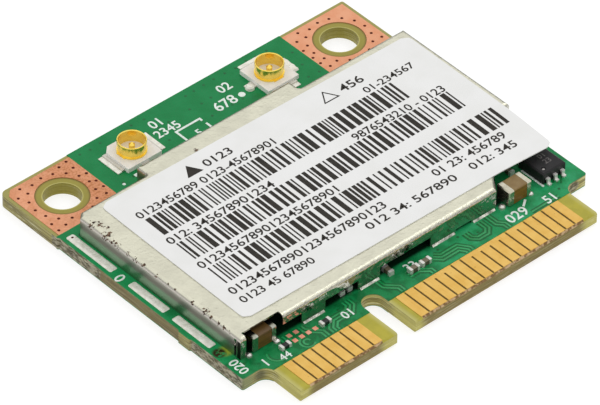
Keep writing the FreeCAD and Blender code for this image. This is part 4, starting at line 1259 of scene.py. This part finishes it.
@dataclass
class Board(Assembly):
    """The green board: its tracks, covered vias and frayed left edge."""

    track_width: float = 0.14
    track_pitch: float = 0.26
    track_rise: float = 0.018
    trough_rise: float = 0.004
    cover_radius: float = 0.11
    cover_rise: float = 0.01
    bundles: tuple[tuple[int, tuple[Point, ...]], ...] = (
        (3, ((-10.45, -8.9), (-10.45, -9.55))),
        (2, ((-9.0, -8.95), (-9.0, -9.4), (-8.2, -10.2), (-8.2, -10.75))),
        (3, ((-7.45, -10.75), (-7.45, -10.4), (-6.95, -9.9), (-5.6, -9.9), (-5.2, -9.5), (-5.2, -9.0))),
        (2, ((-1.7, -10.75), (-1.7, -10.3), (-2.4, -9.6), (-2.4, -9.0))),
        (2, ((0.95, -10.75), (0.95, -10.45), (0.35, -9.95), (-0.5, -9.95))),
        (3, ((4.1, -10.75), (4.1, -10.55), (3.7, -10.0), (2.3, -10.0), (1.9, -9.6))),
        (2, ((5.0, -9.3), (5.0, -9.85), (5.35, -10.2), (6.1, -10.2), (6.45, -9.85), (6.45, -9.1))),
        (2, ((7.55, -10.75), (7.55, -10.3), (7.2, -9.9), (7.2, -9.0))),
        (1, ((9.7, -10.6), (12.1, -10.6))),
        (2, ((12.9, -9.6), (13.6, -8.9), (13.6, -7.4))),
    )
    loops: tuple[tuple[Point, float], ...] = (
        ((-9.55, -10.3), 0.24), ((-9.55, -10.3), 0.5), ((-11.75, -9.88), 0.66),
    )
    loop_share: float = 0.72
    loop_points: int = 32
    loop_turn: float = 70.0
    cover_rows: tuple[float, ...] = (12.85, 11.55, 10.12, 8.9)
    cover_pitch: float = 0.9
    cover_span: float = 8.6
    cover_shift: float = 0.3
    cover_stray: Point = (0.1, 0.06)
    cover_share: float = 0.8
    cover_seed: int = 12
    socket_reach: float = 2.2
    front_covers: tuple[Point, ...] = (
        (-13.9, -9.2), (-8.6, -10.45), (-6.1, -9.35), (-2.9, -9.1), (1.6, -9.3), (2.6, -9.3),
        (4.4, -9.25), (5.7, -9.75), (8.3, -10.5), (12.6, -10.1), (13.9, -8.2), (13.2, -6.8), (14.2, -5.1),
    )
    fibre_count: int = 260
    fibre_thickness: float = 0.022
    fibre_length: Point = (0.06, 0.3)
    fibre_inset: float = 0.13
    fibre_margins: Point = (0.08, 0.1)
    fibre_lean: float = -0.3
    fibre_tilt: float = 0.25
    fibre_taper: float = 0.5
    fibre_seed: int = 13
    top: float = field(init=False)

    def __post_init__(self) -> None:
        """Reads the level of the lacquer from the frame."""
        self.top = Box.of("solder_mask_top").high.z

    def build(self) -> None:
        """Builds what lies on and sticks out of the board."""
        self.tracks()
        self.covers()
        self.fibres()

    def tracks(self) -> None:
        """Bundles of lacquered tracks with dark troughs beside them, and a few loops."""
        ridges, troughs = Solids(), Solids()
        foot = self.top - TRACK_SINK
        trough_width = self.track_pitch - self.track_width
        for count, route in self.bundles:
            first = -self.track_pitch * (count - 1) / 2
            for number in range(count):
                aside = first + number * self.track_pitch
                ridges.track(route, self.track_width, foot, self.top + self.track_rise, aside)
            for number in range(count + 1):
                aside = first + (number - 0.5) * self.track_pitch
                troughs.track(route, trough_width, foot, self.top + self.trough_rise, aside)
        for number, (centre, radius) in enumerate(self.loops):
            ring = ring_of(centre, radius, self.loop_points, self.loop_turn * number)
            arc = ring[:round(len(ring) * self.loop_share)]
            ridges.track(arc, self.track_width, foot, self.top + self.track_rise)
            troughs.track(arc, trough_width, foot, self.top + self.trough_rise, self.track_pitch / 2)
        ridges.piece("mask_tracks", MASK_OVER_TRACK, "solder_mask")
        troughs.piece("mask_troughs", MASK_OVER_HOLE, "solder_mask")

    def covers(self) -> None:
        """Small lacquered vias in rows along the back and scattered at the front."""
        chance = random.Random(self.cover_seed)
        sockets = [Box.of(f"antenna_housing_{side.name.lower()}").middle for side in Side]
        made = Solids()
        foot = self.top - DROP_SINK
        count = int(2 * self.cover_span / self.cover_pitch)
        for row, y in enumerate(self.cover_rows):
            for step in range(count + 1):
                x = -self.cover_span + step * self.cover_pitch + self.cover_shift * (row % 2)
                stray = [chance.uniform(-reach, reach) for reach in self.cover_stray]
                spot = Vector((x + stray[0], y + stray[1]))
                clear = all((spot - socket.xy).length > self.socket_reach for socket in sockets)
                inside = abs(spot.x) < self.cover_span + self.cover_shift
                if clear and inside and chance.random() < self.cover_share:
                    made.dome(tuple(spot), self.cover_radius, foot, self.cover_rise)
        for spot in self.front_covers:
            made.dome(spot, self.cover_radius, foot, self.cover_rise)
        made.piece("covered_vias", MASK_OVER_HOLE, "solder_mask")

    def fibres(self) -> None:
        """Broken glass fibres on the left wall, where tabs once held the board."""
        chance = random.Random(self.fibre_seed)
        board = Box.of("circuit_board")
        lowest, highest = board.low.z + self.fibre_margins[0], board.high.z - self.fibre_margins[1]
        half = self.fibre_thickness / 2
        corners = [Vector((x * half, 0, z * half)) for x, z in ((1, 1), (-1, 1), (-1, -1), (1, -1))]
        made = Solids()
        for _ in range(self.fibre_count):
            y = chance.uniform(*chance.choice(FRAYED_SPANS))
            foot = Vector((board.low.x + self.fibre_inset, y, chance.uniform(lowest, highest)))
            sway, tilt = chance.uniform(-1, 1), chance.uniform(-self.fibre_tilt, self.fibre_tilt)
            way = Vector((self.fibre_lean, sway, tilt)).normalized()
            tip = foot + way * chance.uniform(*self.fibre_length)
            tip.x = max(tip.x, board.low.x + self.fibre_thickness)
            made.loft([[tuple(foot + corner) for corner in corners],
                       [tuple(tip + corner * self.fibre_taper) for corner in corners]])
        made.piece("edge_fibres", FIBRE, "laminate")

    def dress(self) -> None:
        """Dresses the laminate and the lacquer."""
        dress(LAMINATE, "circuit_board")
        dress(MASK, "solder_mask_top", "solder_mask_bottom")


@dataclass
class Tongue(Assembly):
    """The gold contact edge, with a few contacts joined at their upper ends."""

    bridge_length: float = 0.34
    contact_width: float = 0.66
    contact_pitch: float = 0.8
    joined_gaps: tuple[int, ...] = (11, 12, 15, 16, 17, 18, 20)
    first_long: int = 8
    long_row_start: float = -2.53

    def build(self) -> None:
        """Builds the gold that joins neighbouring contacts."""
        contacts = Box.of("edge_contacts_top")
        made = Solids()
        gap = self.contact_pitch - self.contact_width
        for number in self.joined_gaps:
            left = self.long_row_start + (number - self.first_long) * self.contact_pitch + self.contact_width
            low = (left, contacts.high.y - self.bridge_length)
            made.bar(low, (left + gap, contacts.high.y), contacts.low.z, contacts.high.z)
        made.piece("contact_bridges", CONTACT_GOLD, "gold_plating")

    def dress(self) -> None:
        """Dresses the contacts."""
        dress(CONTACT_GOLD, "edge_contacts_top", "edge_contacts_bottom")


@dataclass
class GroundPads(Assembly):
    """Copper squares round the screw holes, pierced by rings of vias."""

    via_radius: float = 0.11
    via_sides: int = 12
    ring_radius: float = 2.24
    ring_count: int = 16
    ring_start: float = -1.5
    bare_sides: int = 72
    corner_cut: float = 0.45
    corner_spots: tuple[Point, ...] = ((1.66, 2.3), (2.32, 1.66))
    corner_tip: Point = (2.36, 2.42)
    column_x: float = 2.62
    column_spots: tuple[float, ...] = (0.68, -0.28, -1.02)
    plug_share: float = 0.5

    def vias(self, side: Side) -> list[Point]:
        """Middles of one pad's vias.

        Args:
            side: Which pad.

        Returns:
            Their places.
        """
        middle = (side.value * SCREW_HOLE[0], SCREW_HOLE[1])
        spots = ring_of(middle, self.ring_radius, self.ring_count, self.ring_start)
        for across in (-1, 1):
            for along in (-1, 1):
                if (across, along) == (side.value, 1) and side is Side.RIGHT:
                    continue
                places = self.corner_spots
                if side is Side.LEFT and across == along:
                    places += (self.corner_tip,)
                spots += [(middle[0] + across * x, middle[1] + along * y) for x, y in places]
        spots += [(middle[0] - side.value * self.column_x, middle[1] + y) for y in self.column_spots]
        return spots

    def build(self) -> None:
        """Builds the pierced pads of both faces and, halfway down their vias, plugs painted dark as painted
        shade.
        """
        barrels = Solids()
        for face in ("top", "bottom"):
            node = f"ground_pads_{face}"
            box = Box.of(node)
            made = Solids()
            for side in Side:
                holes = [ring_of(spot, self.via_radius, self.via_sides) for spot in self.vias(side)]
                middle = (side.value * SCREW_HOLE[0], SCREW_HOLE[1])
                bare = ring_of(middle, BARE_RADIUS, self.bare_sides)
                made.prism(self.outline(side, box), box.low.z, box.high.z, [bare, *holes])
                foot, level = (box.low.z, box.high.z) if face == "top" else (box.high.z, box.low.z)
                # Each via holds a dark plug halfway down: painted shade inside the hole.
                plug = foot + self.plug_share * (level - foot)
                for hole in holes:
                    barrels.prism(hole, min(foot, plug), max(foot, plug))
            made.piece(node.replace("ground", "pierced"), COPPER, "bare_copper", [node])
        barrels.piece("via_barrels", VIA_DARK, "bare_copper")

    def outline(self, side: Side, box: Box) -> list[Point]:
        """Corners of one pad, cut off where the board's own corner is rounded.

        Args:
            side: Which pad.
            box: Box of both pads.

        Returns:
            The corners.
        """
        span = box.high.y - box.low.y
        inner = side.value * (box.high.x - span)
        outer = side.value * box.high.x
        cut = self.corner_cut if side is Side.LEFT else 0.0
        corners = [(inner, box.low.y), (outer, box.low.y), (outer, box.high.y - cut)]
        if cut:
            corners.append((outer - side.value * cut, box.high.y))
        return [*corners, (inner, box.high.y)]


@dataclass
class Silkscreen(Assembly):
    """White figures and lines printed on the lacquer."""

    rise: float = 0.024
    figures: tuple[tuple[str, Point, Point, Turn], ...] = (
        ("01", (-3.55, 11.6), (-2.25, 12.4), Turn.ALONG),
        ("2345", (-3.95, 10.65), (-1.4, 11.4), Turn.ALONG),
        ("5", (-1.5, 9.1), (-1.05, 9.75), Turn.ALONG),
        ("02", (2.3, 11.4), (3.6, 12.2), Turn.ALONG),
        ("678", (1.0, 10.1), (2.95, 11.0), Turn.ALONG),
        ("020", (-14.7, -10.1), (-14.0, -8.3), Turn.UPWARDS),
        ("0", (-14.93, 1.5), (-14.13, 2.5), Turn.UPWARDS),
        ("1", (-13.05, -10.35), (-12.6, -9.65), Turn.ALONG),
        ("44", (-11.95, -10.65), (-11.0, -10.05), Turn.ALONG),
        ("01", (-6.4, -10.35), (-5.45, -9.65), Turn.ALONG),
        ("029", (7.9, -10.6), (9.6, -9.75), Turn.ALONG),
        ("51", (10.9, -10.75), (12.0, -10.0), Turn.ALONG),
        ("33", (-0.9, -9.65), (1.3, -8.95), Turn.ALONG),
    )
    lines: tuple[tuple[float, tuple[Point, ...]], ...] = (
        (0.16, ((-2.4, 9.0), (-2.4, 10.45), (-0.35, 10.45), (-0.35, 10.2))),
        (0.16, ((-0.3, 9.85), (-0.3, 9.25))),
        (0.16, ((12.0, -9.3), (12.0, -7.2))),
        (0.16, ((9.65, -9.85), (10.2, -9.45))),
        (0.28, ((-7.3, 8.9), (-6.75, 8.9))),
    )
    dots: tuple[tuple[Point, float], ...] = (((3.4, 10.5), 0.26), ((-8.35, 8.75), 0.12))

    def build(self) -> None:
        """Builds all the print in one piece."""
        top = Box.of("solder_mask_top").high.z
        foot, face = top - TRACK_SINK, top + self.rise
        made = Solids()
        for words, low, high, turn in self.figures:
            made.digits(words, low, high, foot, face, turn)
        for width, route in self.lines:
            made.track(route, width, foot, face)
        for centre, radius in self.dots:
            made.dome(centre, radius, foot, self.rise, DROP_SIDES)
        made.piece("silkscreen", SILK, "label_paper")


@dataclass
class Shield(Assembly):
    """The folded shield and the solder that holds it down."""

    strip_spans: tuple[Point, ...] = ((-6.7, -3.1), (-2.3, 1.15), (2.8, 7.2))
    spread: Point = (0.03, 0.1)
    ribs: Ribs = Ribs(height=0.035, pitch=0.24, start=-0.3)
    dot: Point = (-14.32, 6.9)
    dot_radius: float = 0.12
    dot_sink: float = 0.03
    dot_rise: float = 0.035
    seed: int = 23

    def build(self) -> None:
        """Builds the ribbed solder strips beside the left wall and, in the last of them, a via painted dark
        as painted shade.
        """
        chance = random.Random(self.seed)
        box = Box.of("shield_solder_strips")
        made = Solids()
        for front, back in self.strip_spans:
            low, high = (box.low.x - self.spread[0], front), (box.high.x + self.spread[1], back)
            made.ribbed(low, high, (box.low.z, box.high.z), self.ribs, chance.uniform(0, math.tau))
        made.piece("ribbed_solder_strips", STRIP_SOLDER, "solder", ["shield_solder_strips"])
        via = Solids()
        via.dome(self.dot, self.dot_radius, box.high.z - self.dot_sink, self.dot_rise)
        via.piece("strip_via", VIA_DARK, "solder")

    def dress(self) -> None:
        """Dresses the sheet and its solder fillets."""
        dress(SHEET, "shield_can")
        dress(FOOT_SOLDER, "shield_foot_solder")


@dataclass
class Label(Assembly):
    """The paper label, sagging where the shield is cut away, with its bars and figures."""

    half: Point = (13.25, 7.1)
    corner: float = 0.5
    turn: float = -0.7
    paper: float = 0.068
    ink: float = 0.007
    columns: int = 64
    rows: int = 36
    sag: float = 0.26
    sag_from: Point = (7.9, -2.4)
    sag_past: float = 1.0
    crowding: float = 0.35
    barcodes: tuple[tuple[Point, Point], ...] = (
        ((-11.95, 2.24), (9.35, 4.17)), ((-11.95, -0.78), (11.6, 1.12)), ((-11.95, -3.8), (12.45, -1.95)),
    )
    figures: tuple[tuple[str, Point, Point], ...] = (
        ("0123", (-5.55, 5.5), (-3.25, 6.2)),
        ("456", (6.15, 5.4), (8.05, 6.15)),
        ("0123456789 0123-45678901", (-12.15, 4.37), (-0.55, 5.05)),
        ("01-234567", (7.25, 4.32), (11.55, 4.95)),
        ("012: 345678901234", (-12.25, 1.23), (-3.35, 1.93)),
        ("9876543210 - 0123", (3.55, 1.2), (11.45, 1.9)),
        ("0123456789012345678901", (-12.25, -1.8), (-0.55, -1.1)),
        ("012345678901234567890123", (-12.35, -4.93), (0.75, -4.22)),
        ("01 23: 456789", (5.1, -4.8), (11.35, -4.1)),
        ("0123 45 67890", (-12.35, -5.96), (-6.25, -5.3)),
        ("012 34: 567890", (-1.65, -5.9), (6.05, -5.22)),
        ("012: 345", (7.35, -5.85), (11.35, -5.18)),
    )
    solid_mark: tuple[Point, ...] = ((-7.2, 5.45), (-5.9, 5.45), (-6.55, 6.5))
    open_mark: tuple[Point, ...] = ((4.4, 5.3), (5.75, 5.3), (5.075, 6.4))
    open_mark_hole: tuple[Point, ...] = ((4.56, 5.39), (5.59, 5.39), (5.075, 6.23))
    bar_widths: tuple[float, ...] = (0.12, 0.12, 0.2, 0.28, 0.4)
    bar_gaps: tuple[float, ...] = (0.12, 0.14, 0.2, 0.3)
    bar_steps: int = 6
    seed: int = 5
    level: float = field(init=False)
    middle: Vector = field(init=False)

    def __post_init__(self) -> None:
        """Reads the label's place from the frame."""
        box = Box.of("label")
        self.level = box.low.z
        self.middle = box.middle

    def lay(self, spot: Vector) -> Vector:
        """Puts a point of the flat label on the card.

        Args:
            spot: Place on the flat label, with height above its underside.

        Returns:
            Place on the card.
        """
        droop = smooth(spot.x, self.sag_from[0], self.half[0] + self.sag_past)
        droop *= smooth(-spot.y, -self.sag_from[1], self.half[1] + self.sag_past)
        turned = Matrix.Rotation(math.radians(self.turn), 3, "Z") @ Vector((spot.x, spot.y, 0))
        level = self.level + spot.z - self.sag * droop
        return Vector((self.middle.x + turned.x, self.middle.y + turned.y, level))

    def build(self) -> None:
        """Builds the paper and its print."""
        paper = Solids()
        grids = [[[self.rim(column, row, z) for column in range(self.columns + 1)]
                  for row in range(self.rows + 1)] for z in (self.paper, 0.0)]
        paper.slab(*grids)
        paper.bend(self.lay)
        paper.piece("paper_label", PAPER, "label_paper", ["label"])
        ink = Solids()
        foot, face = self.paper - DROP_SINK, self.paper + self.ink
        chance = random.Random(self.seed)
        for low, high in self.barcodes:
            x = low[0]
            while x < high[0] - self.bar_widths[0]:
                width = chance.choice(self.bar_widths)
                ink.bar((x, low[1]), (min(x + width, high[0]), high[1]), foot, face, self.bar_steps)
                x += width + chance.choice(self.bar_gaps)
        for words, low, high in self.figures:
            ink.digits(words, low, high, foot, face, fill=True)
        ink.prism(self.solid_mark, foot, face)
        ink.prism(self.open_mark, foot, face, [self.open_mark_hole])
        ink.bend(self.lay)
        ink.piece("label_print", INK, "label_paper")

    def rim(self, column: int, row: int, z: float) -> Place:
        """A point of the flat sheet, whose rows end on rounded corners.

        Args:
            column: Which column of points.
            row: Which row of points.
            z: Height above the underside.

        Returns:
            The point.
        """
        share = 2 * row / self.rows - 1
        crowded = self.half[1] * math.sin(share * math.pi / 2)
        y = crowded * self.crowding + self.half[1] * share * (1 - self.crowding)
        over = max(abs(y) - (self.half[1] - self.corner), 0.0)
        reach = self.half[0] - self.corner + math.sqrt(max(self.corner ** 2 - over ** 2, 0.0))
        return (reach * (2 * column / self.columns - 1), y, z)


@dataclass
class Sockets(Assembly):
    """The two antenna sockets and the uneven solder at their feet."""

    ridge_low: Point = (7.42, 9.9)
    ridge_high: Point = (8.0, 11.5)
    ridge_rise: float = 0.2
    ribs: Ribs = Ribs(height=0.07, pitch=0.53)
    tail_blob: Point = (4.2, 10.6)
    tail_radius: float = 0.33
    tail_rise: float = 0.3

    def build(self) -> None:
        """Builds the ridged solder and the rounded tail of the right socket."""
        top = Box.of("solder_mask_top").high.z - DROP_SINK
        made = Solids()
        made.ribbed(self.ridge_low, self.ridge_high, (top, top + self.ridge_rise), self.ribs, math.pi)
        made.dome(self.tail_blob, self.tail_radius, top, self.tail_rise, DROP_SIDES)
        made.piece("socket_solder_lumps", STRIP_SOLDER, "solder")

    def dress(self) -> None:
        """Dresses the rings, pins, bases and solder."""
        for side in Side:
            name = side.name.lower()
            dress(RING_GOLD, f"antenna_ring_{name}", f"antenna_pin_{name}")
            dress(PLASTIC, f"antenna_housing_{name}")
        dress(STRIP_SOLDER, "antenna_solder")


@dataclass
class Parts(Assembly):
    """The chips, capacitors and resistors on the board."""

    mark_sink: float = 0.002
    mark_rise: float = 0.006
    mark_rows: tuple[tuple[str, float], ...] = (("01", 0.32), ("23", -0.28))
    mark_span: Point = (-0.2, 0.5)
    mark_half: float = 0.22
    pin_mark: Point = (-0.6, -0.75)
    pin_radius: float = 0.1
    pin_sink: float = 0.05
    pin_rise: float = 0.045
    blob_sides: int = 18
    blobs: tuple[tuple[Point, float, float], ...] = (
        ((8.51, -9.03), 0.26, 0.26), ((10.82, -9.28), 0.22, 0.2),
        ((-13.18, -8.86), 0.22, 0.22), ((-10.98, -9.0), 0.25, 0.22),
    )

    def build(self) -> None:
        """Builds the faint figures on the switch chip and the solder of the large capacitors."""
        box = Box.of("switch_chip")
        middle = box.middle
        marks = Solids()
        foot, face = box.high.z - self.mark_sink, box.high.z + self.mark_rise
        left, right = (middle.x + edge for edge in self.mark_span)
        for words, row in self.mark_rows:
            low, high = middle.y + row - self.mark_half, middle.y + row + self.mark_half
            marks.digits(words, (left, low), (right, high), foot, face)
        marks.piece("chip_marks", CHIP_MARK, "chip_mould")
        disc = Solids()
        disc.dome((middle.x + self.pin_mark[0], middle.y + self.pin_mark[1]), self.pin_radius,
                  box.high.z - self.pin_sink, self.pin_rise)
        disc.piece("pin_mark", PIN_MARK, "chip_mould")
        joints = Solids()
        level = Box.of("bulk_capacitor_solder").low.z
        for centre, radius, rise in self.blobs:
            joints.dome(centre, radius, level, rise, self.blob_sides)
        joints.piece("capacitor_joints", SOLDER, "solder", ["bulk_capacitor_solder"])

    def dress(self) -> None:
        """Dresses every small part."""
        dress(MOULD, "switch_chip", "radio_chip", "amplifier_front", "amplifier_back")
        dress(LEAD, "switch_leads", "filter_ends", "supply_capacitor_ends", "small_resistor_ends",
              "small_capacitor_ends")
        # The left capacitor and its ends wear shaded copies of their finishes: painted shade.
        dress(TINNED, "bulk_capacitor_ends_right")
        dress(SHADED_TIN, "bulk_capacitor_ends_left")
        dress(CERAMIC, "bulk_capacitor_right")
        dress(SHADED_CERAMIC, "bulk_capacitor_left")
        dress(SMALL_CERAMIC, "small_capacitor_blocks", "filter_blocks", "supply_capacitor_blocks")
        dress(RESISTOR, "small_resistor_blocks")
        dress(PAD_COPPER, "test_pads")
        dress(CRYSTAL_BASE, "crystal_base")
        dress(CRYSTAL_LID, "crystal_lid")
        dress(FERRITE, "power_coil")


@dataclass
class Studio:
    """Pale floor, soft light and the camera."""

    eye: Place = (-198.686, -213.9, 254.768)
    right: Place = (0.742742, -0.669417, 0.014647)
    forward: Place = (0.51185, 0.55354, -0.65696)
    focal_pixels: float = 5981.89
    floor_half: float = 1500.0
    floor_drop: float = 0.02
    floor_glow: float = 0.72
    floor_patches: float = 0.02
    floor_roughness: float = 0.8
    floor_specular: float = 0.1
    floor_dark: Tint = Tint(158, 158, 158)
    floor_light: Tint = Tint(164, 164, 164)
    horizon: Colour = (0.14, 0.14, 0.14, 1.0)
    zenith: Colour = (1.03, 1.03, 1.03, 1.0)
    sky_rise: Point = (0.0, 0.6)
    key_watts: float = 0.18
    key_size: float = 0.18
    key_at: Place = (260.0, -62.0, 446.0)

    def build(self) -> None:
        """Builds the floor, the light and the camera."""
        self.floor()
        self.sky()
        self.lamp()
        self.camera()

    def floor(self) -> None:
        """A pale floor under the card."""
        half, level = self.floor_half * MM, -self.floor_drop * MM
        corners = [(x * half, y * half, level) for x, y in ((-1, -1), (1, -1), (1, 1), (-1, 1))]
        mesh = bpy.data.meshes.new("floor")
        mesh.from_pydata(corners, [], [range(len(corners))])
        board = bpy.data.materials.new("floor_board")
        shader = Shader(board)
        tone = shader.blend(shader.noise(self.floor_patches), self.floor_dark, self.floor_light)
        shader.surface({"Base Color": tone, "Roughness": self.floor_roughness,
                        "Specular IOR Level": self.floor_specular,
                        "Emission Color": WHITE, "Emission Strength": self.floor_glow})
        mesh.materials.append(board)
        floor = bpy.data.objects.new("floor", mesh)
        bpy.context.scene.collection.objects.link(floor)

    def sky(self) -> None:
        """White surroundings that darken towards the horizon."""
        world = bpy.data.worlds.new("studio")
        shader = Shader(world)
        way = shader.node("TexCoord", output="Generated")
        height = shader.node("SeparateXYZ", inputs={0: way}, output="Z")
        glow = shader.blend(height.step(*self.sky_rise), self.horizon, self.zenith)
        shader.node("OutputWorld", inputs={"Surface": shader.node("Background", inputs={"Color": glow})})
        bpy.context.scene.world = world

    def lamp(self) -> None:
        """One large soft lamp above."""
        lamp = bpy.data.lights.new("softbox", "AREA")
        lamp.energy = self.key_watts
        lamp.size = self.key_size
        made = bpy.data.objects.new("softbox", lamp)
        made.location = Vector(self.key_at) * MM
        made.rotation_euler = (-Vector(self.key_at)).to_track_quat("-Z", "Y").to_euler()
        bpy.context.scene.collection.objects.link(made)

    def camera(self) -> None:
        """The camera at the photograph's place."""
        lens = bpy.data.cameras.new("camera")
        lens.sensor_fit = "HORIZONTAL"
        lens.sensor_width = SENSOR_WIDTH
        lens.lens = self.focal_pixels / PHOTO_WIDTH * SENSOR_WIDTH
        made = bpy.data.objects.new("camera", lens)
        forward = Vector(self.forward).normalized()
        right = Vector(self.right)
        right = (right - forward * right.dot(forward)).normalized()
        turn = Matrix((right, right.cross(forward), -forward)).transposed()
        made.matrix_world = Matrix.Translation(Vector(self.eye) * MM) @ turn.to_4x4()
        bpy.context.scene.collection.objects.link(made)
        bpy.context.scene.camera = made
        bpy.context.scene.view_settings.view_transform = "Standard"


def main() -> None:
    """Builds and dresses the card, then the studio."""
    logging.basicConfig(level=logging.INFO, format="%(name)s: %(message)s")
    kinds = (Board, Tongue, GroundPads, Silkscreen, Shield, Label, Sockets, Parts)
    for assembly in [kind() for kind in kinds]:
        assembly.build()
        assembly.dress()
        LOG.info("%s is done", type(assembly).__name__)
    Studio().build()


if __name__ == "__main__":
    main()
